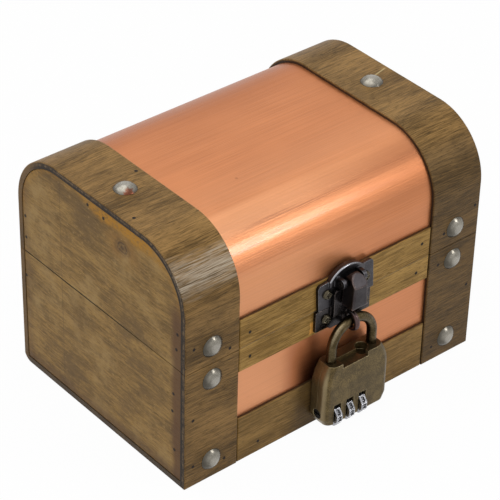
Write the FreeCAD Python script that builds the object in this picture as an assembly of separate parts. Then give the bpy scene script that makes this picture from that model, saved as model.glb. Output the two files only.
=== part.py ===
"""Wooden treasure-chest money box: copper skin, bent plywood bands, hasp and combination padlock.

Millimetres, +Z up.  The origin is the middle of the footprint on the surface it stands on.
The front, with the hasp, faces -Y, and +X runs along the front from left to right.
"""
import FreeCAD, Part
import math
import os

from FreeCAD import Vector

# Overall chest, measured over the bands
CHEST_WIDTH = 150.0
CHEST_DEPTH = 105.0
CHEST_HEIGHT = 106.0
SEAM_HEIGHT = 55.6
SEAM_GAP = 0.3
LID_CORNER_RADIUS = 26.0
REAR_FOOT_RADIUS = 4.5

# Boards, plywood and sheet
END_THICKNESS = 9.0
END_INSET = 0.2
WALL_THICKNESS = 7.0
FLOOR_THICKNESS = 2.5
SHELL_THICKNESS = 5.0
BAND_THICKNESS = 2.8
BAND_WIDTH = 25.8
BAND_STEP = 1.6
SLAT_THICKNESS = 1.3
COPPER_THICKNESS = 0.4
BASE_LOWER_SLAT_HEIGHT = 21.7
BASE_UPPER_SLAT_HEIGHT = 11.2
LID_SLAT_HEIGHT = 13.1
SLAT_END_GAP = 0.4
EDGE_ROUND = 0.5

# Dome-headed nails on the bands
NAIL_HEAD_DIAMETER = 9.4
NAIL_HEAD_HEIGHT = 2.3
NAIL_SHANK_DIAMETER = 1.6
NAIL_SHANK_LENGTH = 6.5
NAIL_LOW_HEIGHT = 9.0
NAIL_BELOW_SEAM = 7.4
NAIL_ABOVE_SEAM = 7.7

# Round-headed screws for the hasp and the hinges
SCREW_HEAD_DIAMETER = 4.2
SCREW_HEAD_HEIGHT = 1.3
SCREW_CROWN_DIAMETER = 2.9
SCREW_RIM_HEIGHT = 0.5
SCREW_SHANK_DIAMETER = 1.9
SCREW_SHANK_LENGTH = 6.0
SCREW_CROSS_WIDTH = 0.7
SCREW_CROSS_LENGTH = 2.8
SCREW_CROSS_DEPTH = 0.6

# Back hinges
HINGE_SPACING = 70.0
HINGE_LENGTH = 20.0
HINGE_LEAF_HEIGHT = 9.5
HINGE_LEAF_THICKNESS = 1.0
HINGE_BARREL_DIAMETER = 3.6
HINGE_PIN_DIAMETER = 1.8
HINGE_KNUCKLES = 3
HINGE_KNUCKLE_GAP = 0.3
HINGE_SCREW_SPACING = 11.0
HINGE_SCREW_HEIGHT = 5.6
HINGE_BARREL_CLEARANCE = 0.3
RUNNING_CLEARANCE = 0.05
BODY_CLEARANCE = 0.4

# Hasp: lid plate, flap and keeper
HASP_OFFSET = 3.0
PLATE_THICKNESS = 1.4
LID_PLATE_WIDTH = 28.2
LID_PLATE_EAR_HEIGHT = 12.7
LID_PLATE_ARCH_HEIGHT = 17.0
LID_PLATE_ARCH_WIDTH = 17.7
LID_PLATE_TILT = 3.5
LID_PLATE_RIM_WIDTH = 1.9
LID_PLATE_RIM_HEIGHT = 1.0
LID_PLATE_RIM_ROUND = 0.7
PLATE_CORNER_RADIUS = 1.6
LID_SCREW_HEIGHT = 6.8
HASP_SCREW_SPACING = 19.8
FLAP_WIDTH = 7.9
FLAP_HEAD_WIDTH = 6.6
FLAP_BOTTOM = 0.8
FLAP_BEND = 10.8
FLAP_TOP = 15.3
FLAP_STANDOFF = 10.2
FLAP_TOP_STANDOFF = 6.4
FLAP_FRONT_WALL = 1.4
FLAP_SIDE_WALL = 1.3
FLAP_EDGE_ROUND = 1.0
FLAP_TONGUE_WIDTH = 3.4
FLAP_TONGUE_HEIGHT = 3.0
FLAP_SWING = 40.0
HASP_PIN_HEIGHT = 11.5
HASP_PIN_STANDOFF = 4.6
HASP_PIN_DIAMETER = 1.9
HASP_LUG_THICKNESS = 1.6
HASP_LUG_RADIUS = 2.1
HASP_LUG_FOOT = 3.4
KEEPER_WIDTH = 28.0
KEEPER_SHIFT = -1.0
KEEPER_DROP = 10.4
KEEPER_SCREW_DROP = 4.6
KEEPER_LEAF_WIDTH = 14.6
KEEPER_LEAF_RISE = 7.9
KEEPER_LEAF_DROP = 4.2
KEEPER_LEAF_THICKNESS = 1.4
KEEPER_EAR_DROP = 9.2
RING_WIRE_DIAMETER = 2.2
RING_NECK_DIAMETER = 2.6
RING_CLEARANCE = 0.42
RING_DROP = 7.25

# Padlock
PADLOCK_SHIFT = 1.1
PADLOCK_HEIGHT = 27.9
PADLOCK_WIDTH = 33.4
PADLOCK_TOP_WIDTH = 27.0
PADLOCK_FOOT_WIDTH = 30.6
PADLOCK_THICKNESS = 9.6
PADLOCK_TOP_THICKNESS = 8.8
PADLOCK_WAIST_DROP = 11.0
PADLOCK_SHOULDER_SAG = 1.0
PADLOCK_FOOT_RISE = 2.8
PADLOCK_FRONT_ROUND = 2.8
PADLOCK_BACK_ROUND = 1.5
PADLOCK_TOP_STEP = 2.0
PADLOCK_STEP_LEFT = 8.0
PADLOCK_STEP_RIGHT = 5.3
SHACKLE_DIAMETER = 4.1
SHACKLE_SPACING = 21.0
SHACKLE_CLEAR_HEIGHT = 14.0
SHACKLE_TRAVEL = 2.1
TOE_DEPTH = 1.7
LATCH_POCKET_DIAMETER = 5.4
LATCH_POCKET_DEPTH = 3.4
LATCH_POCKET_OFFSET = 5.2
LEG_HOLE_ROOM = 1.3
HEEL_NECK_DIAMETER = 2.7
HEEL_NECK_DEPTH = 4.0
HEEL_FOOT_LENGTH = 2.0
STOP_PIN_DIAMETER = 1.5
STOP_PIN_LENGTH = 5.6
SHACKLE_RUNNING = 0.1
WHEEL_DIAMETER = 10.0
WHEEL_WIDTH = 3.0
WHEEL_PITCH = 6.5
WHEEL_SHIFT = -3.6
WHEEL_COUNT = 3
WHEEL_DIGITS = 10
WHEEL_CHAMFER = 0.2
WHEEL_FLUTE_DIAMETER = 0.5
WHEEL_PANEL_WIDTH = 2.4
WHEEL_PANEL_HEIGHT = 2.4
WHEEL_PANEL_DEPTH = 0.08
WHEEL_CLEARANCE = 0.3
WHEEL_SIDE_CLEARANCE = 0.45
WHEEL_WINDOW_HEIGHT = 9.2
WHEEL_AXLE_DIAMETER = 2.4
WHEEL_AXLE_OVERHANG = 2.0
WHEEL_AXLE_RISE = 2.8
WHEEL_FORWARD = 1.8
RESET_PLUG_RISE = 4.7
RESET_PLUG_DIAMETER = 4.3
RESET_PLUG_DEPTH = 2.4
RESET_PLUG_INSET = 0.3
RESET_SLOT_WIDTH = 1.0
RESET_SLOT_DEPTH = 0.6

# Places that follow from the sizes above
HALF_WIDTH = CHEST_WIDTH / 2
HALF_DEPTH = CHEST_DEPTH / 2
FACE_DEPTH = HALF_DEPTH - BAND_THICKNESS
COPPER_FACE = HALF_DEPTH - BAND_STEP
SLAT_FACE = COPPER_FACE + SLAT_THICKNESS
INNER_WIDTH = HALF_WIDTH - END_THICKNESS
END_FACE = HALF_WIDTH - END_INSET
LID_BOTTOM = SEAM_HEIGHT + SEAM_GAP
BAND_INNER = HALF_WIDTH - BAND_WIDTH
BAND_MIDDLE = HALF_WIDTH - BAND_WIDTH / 2
SLAT_END = BAND_INNER - SLAT_END_GAP
HINGE_AXIS_DEPTH = SLAT_FACE + HINGE_BARREL_CLEARANCE + HINGE_BARREL_DIAMETER / 2
HINGE_AXIS_HEIGHT = SEAM_HEIGHT + SEAM_GAP / 2
CROWN_HEIGHT = SEAM_HEIGHT - RING_DROP
PADLOCK_TOP = CROWN_HEIGHT - SHACKLE_DIAMETER / 2 - SHACKLE_CLEAR_HEIGHT
PADLOCK_BOTTOM = PADLOCK_TOP - PADLOCK_HEIGHT
HEEL_NECK_LENGTH = 2 * STOP_PIN_DIAMETER + SHACKLE_TRAVEL
HEEL_DEPTH = HEEL_NECK_DEPTH + HEEL_NECK_LENGTH + HEEL_FOOT_LENGTH
PADLOCK_PLANE = PADLOCK_THICKNESS / 2 + BODY_CLEARANCE
WHEEL_AXLE_HEIGHT = PADLOCK_BOTTOM + WHEEL_AXLE_RISE

X_AXIS = Vector(1, 0, 0)
Y_AXIS = Vector(0, 1, 0)
Z_AXIS = Vector(0, 0, 1)
REACH = 400.0
MARGIN = 1.0
FUZZ = 1e-3


def box(x0, x1, y0, y1, z0, z1):
    """Block between two corners, given as ranges along each axis."""
    return Part.makeBox(x1 - x0, y1 - y0, z1 - z0, Vector(x0, y0, z0))


def rod(start, direction, length, diameter):
    """Round rod from a start point."""
    return Part.makeCylinder(diameter / 2, length, start, direction)


def line(a, b):
    """Straight edge."""
    return Part.LineSegment(a, b).toShape()


def arc(a, b, c):
    """Arc edge through three points."""
    return Part.Arc(a, b, c).toShape()


def extrude(edges, direction):
    """Solid made by sweeping a closed outline along a straight direction."""
    return Part.Face(Part.Wire(edges)).extrude(direction)


def polygon(points):
    """Edges of a closed outline with straight sides."""
    return [line(a, b) for a, b in zip(points, points[1:] + points[:1])]


def outward(standoff):
    """Y of a point that stands a distance in front of the front slats."""
    return -SLAT_FACE - standoff


def cut_all(shape, tools):
    """Shape with each tool taken out of it."""
    for tool in tools:
        if shape.BoundBox.intersect(tool.BoundBox):
            shape = shape.cut(tool)
    return shape


def round_edges(shape, radius, choose):
    """Shape with the chosen edges rounded; choose looks at an edge's bounding box."""
    edges = [edge for edge in shape.Edges if choose(edge.BoundBox)]
    return shape.makeFillet(radius, edges)


def flat_at(axis, place):
    """Test for edges that lie in one plane square to an axis."""
    low = axis + "Min"
    high = axis + "Max"

    def test(bounds):
        return abs(getattr(bounds, low) - place) < FUZZ and abs(getattr(bounds, high) - place) < FUZZ

    return test


def off_seam(choose):
    """Test for edges that leaves out those along the seam, which stay sharp."""

    def test(bounds):
        along_seam = bounds.ZMax < LID_BOTTOM + FUZZ and bounds.ZMin > SEAM_HEIGHT - FUZZ
        return choose(bounds) and not along_seam

    return test


# Lid profile and base boards


def lid_block(inset, x0, x1, floor=LID_BOTTOM):
    """Solid under the lid's arch, set in by a distance from the outside of the bands."""
    half = HALF_DEPTH - inset
    top = CHEST_HEIGHT - inset
    radius = LID_CORNER_RADIUS - inset
    slant = radius * math.sqrt(0.5)
    turn_y = half - radius
    turn_z = top - radius

    def at(y, z):
        return Vector(x0, y, z)

    edges = [
        line(at(-half, floor), at(half, floor)),
        line(at(half, floor), at(half, turn_z)),
        arc(at(half, turn_z), at(turn_y + slant, turn_z + slant), at(turn_y, top)),
        line(at(turn_y, top), at(-turn_y, top)),
        arc(at(-turn_y, top), at(-turn_y - slant, turn_z + slant), at(-half, turn_z)),
        line(at(-half, turn_z), at(-half, floor)),
    ]
    return extrude(edges, Vector(x1 - x0, 0, 0))


def lid_wrap(outer, inner, x0, x1):
    """Bent sheet that follows the lid's arch between two insets."""
    return lid_block(outer, x0, x1).cut(lid_block(inner, x0 - MARGIN, x1 + MARGIN, LID_BOTTOM - MARGIN))


def foot_block():
    """Chest outline in side view with the rear bottom edge rounded, for trimming the base."""
    radius = REAR_FOOT_RADIUS
    slant = radius * (1 - math.sqrt(0.5))

    def at(y, z):
        return Vector(-REACH / 2, y, z)

    edges = [
        line(at(-REACH, 0), at(HALF_DEPTH - radius, 0)),
        arc(at(HALF_DEPTH - radius, 0), at(HALF_DEPTH - slant, slant), at(HALF_DEPTH, radius)),
        line(at(HALF_DEPTH, radius), at(HALF_DEPTH, REACH)),
        line(at(HALF_DEPTH, REACH), at(-REACH, REACH)),
        line(at(-REACH, REACH), at(-REACH, 0)),
    ]
    return extrude(edges, Vector(REACH, 0, 0))


# Fasteners


def dome_nail(place, into):
    """Dome-headed nail standing on a surface, with its shank pointing into the wood."""
    radius = NAIL_HEAD_DIAMETER / 2
    sphere_radius = (radius ** 2 + NAIL_HEAD_HEIGHT ** 2) / (2 * NAIL_HEAD_HEIGHT)
    sink = sphere_radius - NAIL_HEAD_HEIGHT
    middle = Vector(sphere_radius * math.sin(math.asin(radius / sphere_radius) / 2), 0, 0)
    middle.z = math.sqrt(sphere_radius ** 2 - middle.x ** 2) - sink
    shank = NAIL_SHANK_DIAMETER / 2
    tip = -NAIL_SHANK_LENGTH
    edges = [
        arc(Vector(0, 0, NAIL_HEAD_HEIGHT), middle, Vector(radius, 0, 0)),
        line(Vector(radius, 0, 0), Vector(shank, 0, 0)),
        line(Vector(shank, 0, 0), Vector(shank, 0, tip)),
        line(Vector(shank, 0, tip), Vector(0, 0, tip)),
        line(Vector(0, 0, tip), Vector(0, 0, NAIL_HEAD_HEIGHT)),
    ]
    return stand(Part.Face(Part.Wire(edges)).revolve(Vector(), Z_AXIS, 360), place, into)


def screw(place, into):
    """Pan-headed cross-slot screw standing on a surface, with its shank pointing inwards."""
    radius = SCREW_HEAD_DIAMETER / 2
    shank = SCREW_SHANK_DIAMETER / 2
    tip = -SCREW_SHANK_LENGTH
    profile = polygon(
        [
            Vector(0, 0, SCREW_HEAD_HEIGHT),
            Vector(SCREW_CROWN_DIAMETER / 2, 0, SCREW_HEAD_HEIGHT),
            Vector(radius, 0, SCREW_RIM_HEIGHT),
            Vector(radius, 0, 0),
            Vector(shank, 0, 0),
            Vector(shank, 0, tip),
            Vector(0, 0, tip),
        ]
    )
    body = Part.Face(Part.Wire(profile)).revolve(Vector(), Z_AXIS, 360)
    long = SCREW_CROSS_LENGTH / 2
    thin = SCREW_CROSS_WIDTH / 2
    low = SCREW_HEAD_HEIGHT - SCREW_CROSS_DEPTH
    cross = box(-long, long, -thin, thin, low, 2 * SCREW_HEAD_HEIGHT)
    cross = cross.fuse(box(-thin, thin, -long, long, low, 2 * SCREW_HEAD_HEIGHT)).removeSplitter()
    return stand(body.cut(cross), place, into)


def stand(shape, place, into):
    """Fastener turned from pointing down so that it points along another direction."""
    turn = FreeCAD.Rotation(Vector(0, 0, -1), into)
    shape.Placement = FreeCAD.Placement(place, turn)
    return shape


def bores(places, into, diameter, length):
    """Holes for a set of fasteners."""
    return [rod(place, into, length, diameter) for place in places]


# Where the fasteners sit, by the body that they belong to


def nail_places():
    """Nail places on the base and on the lid, each as a list of place and direction."""
    base = []
    lid = []
    for x in (-BAND_MIDDLE, BAND_MIDDLE):
        for y, into in ((-HALF_DEPTH, Y_AXIS), (HALF_DEPTH, -Y_AXIS)):
            base.append((Vector(x, y, NAIL_LOW_HEIGHT), into))
            base.append((Vector(x, y, SEAM_HEIGHT - NAIL_BELOW_SEAM), into))
            lid.append((Vector(x, y, LID_BOTTOM + NAIL_ABOVE_SEAM), into))
        lid.append((Vector(x, 0, CHEST_HEIGHT), -Z_AXIS))
    return base, lid


def screw_rows():
    """Screw places: hasp on lid, hasp on base, hinges on lid and hinges on base."""
    front = outward(PLATE_THICKNESS)
    back = SLAT_FACE + HINGE_LEAF_THICKNESS
    hasp_x = [HASP_OFFSET + side * HASP_SCREW_SPACING / 2 for side in (-1, 1)]
    hinge_x = [
        hinge * HINGE_SPACING / 2 + side * HINGE_SCREW_SPACING / 2 for hinge in (-1, 1) for side in (-1, 1)
    ]
    return {
        "hasp_lid": [Vector(x, front, LID_BOTTOM + LID_SCREW_HEIGHT) for x in hasp_x],
        "hasp_base": [Vector(x, front, SEAM_HEIGHT - KEEPER_SCREW_DROP) for x in hasp_x],
        "hinge_lid": [Vector(x, back, HINGE_AXIS_HEIGHT + HINGE_SCREW_HEIGHT) for x in hinge_x],
        "hinge_base": [Vector(x, back, HINGE_AXIS_HEIGHT - HINGE_SCREW_HEIGHT) for x in hinge_x],
    }


def wood_bores():
    """Every nail and screw hole."""
    holes = []
    for place, into in nail_places()[0] + nail_places()[1]:
        holes += bores([place], into, NAIL_SHANK_DIAMETER, NAIL_SHANK_LENGTH)
    for name, places in screw_rows().items():
        into = Y_AXIS if name.startswith("hasp") else -Y_AXIS
        holes += bores(places, into, SCREW_SHANK_DIAMETER, SCREW_SHANK_LENGTH)
    return holes


# Chest


def make_base(parts):
    """Floor, end boards, walls, copper, slats and bands of the lower half."""
    foot = foot_block()
    floor = box(-HALF_WIDTH, HALF_WIDTH, -FACE_DEPTH, FACE_DEPTH, 0, FLOOR_THICKNESS)
    parts["base_floor"] = floor.common(foot)
    for side, sign in (("left", -1), ("right", 1)):
        x0, x1 = sorted((sign * INNER_WIDTH, sign * END_FACE))
        end = box(x0, x1, -FACE_DEPTH, FACE_DEPTH, FLOOR_THICKNESS, SEAM_HEIGHT)
        outer_edge = off_seam(flat_at("X", sign * END_FACE))
        parts["base_%s_end" % side] = round_edges(end.common(foot), EDGE_ROUND, outer_edge)
    for side, sign in (("front", -1), ("back", 1)):
        make_base_side(parts, side, sign, foot)


def make_base_side(parts, side, sign, foot):
    """Wall, copper sheet, two slats and two bands of the base's front or back."""

    def layer(x0, x1, near, far, z0, z1):
        low, high = sorted((sign * near, sign * far))
        return box(x0, x1, low, high, z0, z1)

    copper_back = COPPER_FACE - COPPER_THICKNESS
    wall_back = FACE_DEPTH - WALL_THICKNESS
    wall = layer(-INNER_WIDTH, INNER_WIDTH, wall_back, FACE_DEPTH, FLOOR_THICKNESS, SEAM_HEIGHT)
    # The field between the bands is raised, so that the copper lies only a step below them.
    field = layer(-BAND_INNER, BAND_INNER, FACE_DEPTH, copper_back, 0, SEAM_HEIGHT).common(foot)
    parts["base_%s_wall" % side] = wall.fuse(field).removeSplitter()
    copper = layer(-BAND_INNER, BAND_INNER, copper_back, COPPER_FACE, 0, SEAM_HEIGHT)
    parts["base_%s_copper" % side] = copper.common(foot)
    slats = {
        "lower": (0, BASE_LOWER_SLAT_HEIGHT),
        "upper": (SEAM_HEIGHT - BASE_UPPER_SLAT_HEIGHT, SEAM_HEIGHT),
    }
    for name, (z0, z1) in slats.items():
        slat = layer(-SLAT_END, SLAT_END, COPPER_FACE, SLAT_FACE, z0, z1)
        slat = round_edges(slat, EDGE_ROUND, off_seam(flat_at("Y", sign * SLAT_FACE)))
        parts["base_%s_%s_slat" % (side, name)] = slat.common(foot)
    for name, x0 in (("left", -HALF_WIDTH), ("right", BAND_INNER)):
        band = layer(x0, x0 + BAND_WIDTH, FACE_DEPTH, HALF_DEPTH, 0, SEAM_HEIGHT)
        band = round_edges(band, EDGE_ROUND, off_seam(flat_at("Y", sign * HALF_DEPTH)))
        parts["base_%s_%s_band" % (side, name)] = band.common(foot)


def make_lid(parts):
    """End boards, bent shell, copper sheet, bands and slats of the lid."""
    for side, sign in (("left", -1), ("right", 1)):
        x0, x1 = sorted((sign * INNER_WIDTH, sign * END_FACE))
        end = lid_block(BAND_THICKNESS, x0, x1)
        parts["lid_%s_end" % side] = round_edges(end, EDGE_ROUND, off_seam(flat_at("X", sign * END_FACE)))
    under_copper = BAND_STEP + COPPER_THICKNESS
    parts["lid_copper"] = lid_wrap(BAND_STEP, under_copper, -BAND_INNER, BAND_INNER)
    shell = lid_wrap(BAND_THICKNESS, BAND_THICKNESS + SHELL_THICKNESS, -INNER_WIDTH, INNER_WIDTH)
    field = lid_wrap(under_copper, BAND_THICKNESS, -BAND_INNER, BAND_INNER)
    parts["lid_shell"] = shell.fuse(field).removeSplitter()
    for side, x0 in (("left", -HALF_WIDTH), ("right", BAND_INNER)):
        parts["lid_%s_band" % side] = lid_band(x0)
    for side, sign in (("front", -1), ("back", 1)):
        low, high = sorted((sign * COPPER_FACE, sign * SLAT_FACE))
        slat = box(-SLAT_END, SLAT_END, low, high, LID_BOTTOM, LID_BOTTOM + LID_SLAT_HEIGHT)
        slat = round_edges(slat, EDGE_ROUND, off_seam(flat_at("Y", sign * SLAT_FACE)))
        parts["lid_%s_slat" % side] = slat


def lid_band(x0):
    """Bent plywood band over the lid, with its two outer edges rounded."""
    rounded = lid_block(0, x0, x0 + BAND_WIDTH)

    def outer_edge(bounds):
        return bounds.XLength < FUZZ and bounds.ZMax > LID_BOTTOM + FUZZ

    rounded = round_edges(rounded, EDGE_ROUND, outer_edge)
    inside = lid_block(BAND_THICKNESS, x0 - MARGIN, x0 + BAND_WIDTH + MARGIN, LID_BOTTOM - MARGIN)
    return rounded.cut(inside)


# Hinges


def hinge_leaf(x, sign, knuckles):
    """Leaf of a butt hinge with its knuckles; sign is 1 for the lid leaf and -1 for the base leaf."""
    half = HINGE_LENGTH / 2
    near = sign * HINGE_KNUCKLE_GAP
    far = sign * HINGE_LEAF_HEIGHT
    low, high = sorted((HINGE_AXIS_HEIGHT + near, HINGE_AXIS_HEIGHT + far))
    plate = box(x - half, x + half, SLAT_FACE, SLAT_FACE + HINGE_LEAF_THICKNESS, low, high)
    far_edge = flat_at("Z", HINGE_AXIS_HEIGHT + far)
    plate = round_edges(plate, PLATE_CORNER_RADIUS, lambda bounds: far_edge(bounds) and bounds.XLength < FUZZ)
    axis_start = Vector(x - half, HINGE_AXIS_DEPTH, HINGE_AXIS_HEIGHT)
    barrel = rod(axis_start, X_AXIS, HINGE_LENGTH, HINGE_BARREL_DIAMETER)
    web_low, web_high = sorted((HINGE_AXIS_HEIGHT, HINGE_AXIS_HEIGHT + sign * HINGE_BARREL_DIAMETER / 2))
    web = box(x - half, x + half, SLAT_FACE + HINGE_BARREL_CLEARANCE, HINGE_AXIS_DEPTH, web_low, web_high)
    leaf = plate.fuse([barrel, web])
    turning = HINGE_BARREL_DIAMETER + 2 * HINGE_KNUCKLE_GAP
    pitch = HINGE_LENGTH / HINGE_KNUCKLES
    for k in set(range(HINGE_KNUCKLES)) - set(knuckles):
        start = axis_start + X_AXIS * (k * pitch - HINGE_KNUCKLE_GAP / 2)
        leaf = leaf.cut(rod(start, X_AXIS, pitch + HINGE_KNUCKLE_GAP, turning))
    clearance = 0 if sign < 0 else RUNNING_CLEARANCE
    bore = HINGE_PIN_DIAMETER + 2 * clearance
    return leaf.cut(rod(axis_start, X_AXIS, HINGE_LENGTH, bore)).removeSplitter()


def make_hinges(parts, holes):
    """Two butt hinges on the back, each with a base leaf, a lid leaf and a pin."""
    outer_knuckles = range(0, HINGE_KNUCKLES, 2)
    inner_knuckles = range(1, HINGE_KNUCKLES, 2)
    for side, sign in (("left", -1), ("right", 1)):
        x = sign * HINGE_SPACING / 2
        parts["hinge_%s_base_leaf" % side] = cut_all(hinge_leaf(x, -1, outer_knuckles), holes)
        parts["hinge_%s_lid_leaf" % side] = cut_all(hinge_leaf(x, 1, inner_knuckles), holes)
        start = Vector(x - HINGE_LENGTH / 2, HINGE_AXIS_DEPTH, HINGE_AXIS_HEIGHT)
        parts["hinge_%s_pin" % side] = rod(start, X_AXIS, HINGE_LENGTH, HINGE_PIN_DIAMETER)


# Hasp


def front_point(x, z, standoff=0.0):
    """Point in front of the slats, with x from the hasp's middle and z from the ground."""
    return Vector(HASP_OFFSET + x, outward(standoff), z)


def plate_outline():
    """Outline of the lid plate: two round-cornered ears with an arch between them."""
    half = LID_PLATE_WIDTH / 2
    r = PLATE_CORNER_RADIUS
    cut = r * (1 - math.sqrt(0.5))
    low = LID_BOTTOM - MARGIN
    top = LID_BOTTOM + LID_PLATE_EAR_HEIGHT
    arch = LID_PLATE_ARCH_WIDTH / 2

    def at(x, z):
        return front_point(x, z)

    return [
        line(at(-half, low), at(half, low)),
        line(at(half, low), at(half, top - r)),
        arc(at(half, top - r), at(half - cut, top - cut), at(half - r, top)),
        line(at(half - r, top), at(arch, top)),
        arc(at(arch, top), at(0, LID_BOTTOM + LID_PLATE_ARCH_HEIGHT), at(-arch, top)),
        line(at(-arch, top), at(-half + r, top)),
        arc(at(-half + r, top), at(-half + cut, top - cut), at(-half, top - r)),
        line(at(-half, top - r), at(-half, low)),
    ]


def arch_panel(inset, base_z):
    """Region inside the lid plate's arch, set in from the arch by the rim's width."""
    half = LID_PLATE_ARCH_WIDTH / 2 - inset
    top = base_z + LID_PLATE_EAR_HEIGHT
    return [
        line(front_point(-half, base_z), front_point(half, base_z)),
        line(front_point(half, base_z), front_point(half, top)),
        arc(
            front_point(half, top),
            front_point(0, base_z + LID_PLATE_ARCH_HEIGHT - inset),
            front_point(-half, top),
        ),
        line(front_point(-half, top), front_point(-half, base_z)),
    ]


def hasp_lug(x0):
    """Ear that carries the flap's pin: a round-nosed wall standing on the lid plate."""
    pin_z = LID_BOTTOM + HASP_PIN_HEIGHT
    radius = HASP_LUG_RADIUS

    def at(standoff, z):
        return front_point(x0, z, standoff)

    edges = [
        line(at(0, pin_z - HASP_LUG_FOOT), at(HASP_PIN_STANDOFF, pin_z - radius)),
        arc(
            at(HASP_PIN_STANDOFF, pin_z - radius),
            at(HASP_PIN_STANDOFF + radius, pin_z),
            at(HASP_PIN_STANDOFF, pin_z + radius),
        ),
        line(at(HASP_PIN_STANDOFF, pin_z + radius), at(0, pin_z + radius)),
        line(at(0, pin_z + radius), at(0, pin_z - HASP_LUG_FOOT)),
    ]
    return extrude(edges, Vector(HASP_LUG_THICKNESS, 0, 0))


def hasp_pin(extra=0.0):
    """Pin through the lugs and the flap; extra widens it for a running bore."""
    half = FLAP_WIDTH / 2 + BODY_CLEARANCE + HASP_LUG_THICKNESS
    start = front_point(-half, LID_BOTTOM + HASP_PIN_HEIGHT, HASP_PIN_STANDOFF)
    return rod(start, X_AXIS, 2 * half, HASP_PIN_DIAMETER + 2 * extra)


def make_lid_plate():
    """Arched plate on the lid, set a little askew, with its rounded rim and two lugs for the flap's pin."""
    plate = extrude(plate_outline(), Vector(0, -PLATE_THICKNESS, 0))
    rim_front = PLATE_THICKNESS + LID_PLATE_RIM_HEIGHT
    rim_depth = Vector(0, -rim_front, 0)
    rim = extrude(arch_panel(0, LID_BOTTOM), rim_depth)
    rim = rim.cut(extrude(arch_panel(LID_PLATE_RIM_WIDTH, LID_BOTTOM - MARGIN), rim_depth))
    # The rim starts above the screw heads and the keeper's leaf, which lies over the plate's lower middle.
    screw_top = LID_BOTTOM + LID_SCREW_HEIGHT + SCREW_HEAD_DIAMETER / 2
    leaf_top = SEAM_HEIGHT + KEEPER_LEAF_RISE
    rim_start = max(screw_top, leaf_top) + BODY_CLEARANCE
    rim = rim.cut(box(-REACH, REACH, -REACH, REACH, 0, rim_start + MARGIN))
    rim = round_edges(rim, LID_PLATE_RIM_ROUND, flat_at("Y", outward(rim_front)))
    plate = plate.fuse(rim)
    plate.rotate(front_point(0, LID_BOTTOM + LID_PLATE_EAR_HEIGHT / 2), Y_AXIS, -LID_PLATE_TILT)
    plate = plate.cut(box(-REACH, REACH, -REACH, REACH, 0, LID_BOTTOM))
    lug_inner = FLAP_WIDTH / 2 + BODY_CLEARANCE
    lugs = [hasp_lug(lug_inner), hasp_lug(-lug_inner - HASP_LUG_THICKNESS)]
    return plate.fuse(lugs).cut(hasp_pin()).removeSplitter()


def flap_outline(inset):
    """Front view of the flap, set in by a wall: it narrows upwards and has a round top."""
    half = FLAP_WIDTH / 2 - inset
    head = FLAP_HEAD_WIDTH / 2 - inset
    low = LID_BOTTOM + FLAP_BOTTOM - inset
    top = LID_BOTTOM + FLAP_TOP - inset
    spring = top - head

    def at(x, z):
        return front_point(x, z)

    return [
        line(at(-half, low), at(half, low)),
        line(at(half, low), at(head, spring)),
        arc(at(head, spring), at(0, top), at(-head, spring)),
        line(at(-head, spring), at(-half, low)),
    ]


def make_flap():
    """Flap that turns on the hasp pin: a hollow panel, a slanted round head and a tongue for the keeper."""
    pin_z = LID_BOTTOM + HASP_PIN_HEIGHT
    low = LID_BOTTOM + FLAP_BOTTOM
    bend = LID_BOTTOM + FLAP_BEND
    top = LID_BOTTOM + FLAP_TOP
    leaf_front = PLATE_THICKNESS + BODY_CLEARANCE + KEEPER_LEAF_THICKNESS
    leaf_clear = leaf_front + BODY_CLEARANCE
    # In side view the back is cut away so that the head swings in without meeting the lid plate.
    swing = math.radians(FLAP_SWING)
    room = HASP_PIN_STANDOFF - PLATE_THICKNESS - LID_PLATE_RIM_HEIGHT - BODY_CLEARANCE

    def slant(rise):
        return HASP_PIN_STANDOFF + (rise * math.sin(swing) - room) / math.cos(swing)

    def at(standoff, z):
        return front_point(-FLAP_WIDTH, z, standoff)

    leaf_top = SEAM_HEIGHT + KEEPER_LEAF_RISE + BODY_CLEARANCE
    back = HASP_PIN_STANDOFF - HASP_LUG_RADIUS
    knee = (back - HASP_PIN_STANDOFF) * math.cos(swing) + room
    knee_rise = knee / math.sin(swing)
    side_view = polygon(
        [
            at(leaf_clear, low),
            at(FLAP_STANDOFF, low),
            at(FLAP_STANDOFF, bend),
            at(FLAP_TOP_STANDOFF, top),
            at(slant(top - pin_z), top),
            at(back, pin_z + knee_rise),
            at(back, pin_z - HASP_LUG_RADIUS),
            at(leaf_clear, leaf_top),
        ]
    )
    flap = extrude(flap_outline(0), Vector(0, -FLAP_STANDOFF, 0))
    flap = round_edges(flap, FLAP_EDGE_ROUND, flat_at("Y", outward(FLAP_STANDOFF)))
    flap = flap.common(extrude(side_view, Vector(2 * FLAP_WIDTH, 0, 0)))
    cavity = extrude(flap_outline(FLAP_SIDE_WALL), Vector(0, -(FLAP_STANDOFF - FLAP_FRONT_WALL), 0))
    flap = flap.cut(cavity.common(box(-REACH, REACH, -REACH, REACH, 0, pin_z - HASP_LUG_RADIUS)))
    half = FLAP_TONGUE_WIDTH / 2
    tongue = box(
        HASP_OFFSET - half,
        HASP_OFFSET + half,
        outward(FLAP_STANDOFF - FLAP_FRONT_WALL),
        outward(PLATE_THICKNESS + BODY_CLEARANCE),
        low,
        low + FLAP_TONGUE_HEIGHT,
    )
    return flap.fuse(tongue).cut(hasp_pin(RUNNING_CLEARANCE)).removeSplitter()


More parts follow.
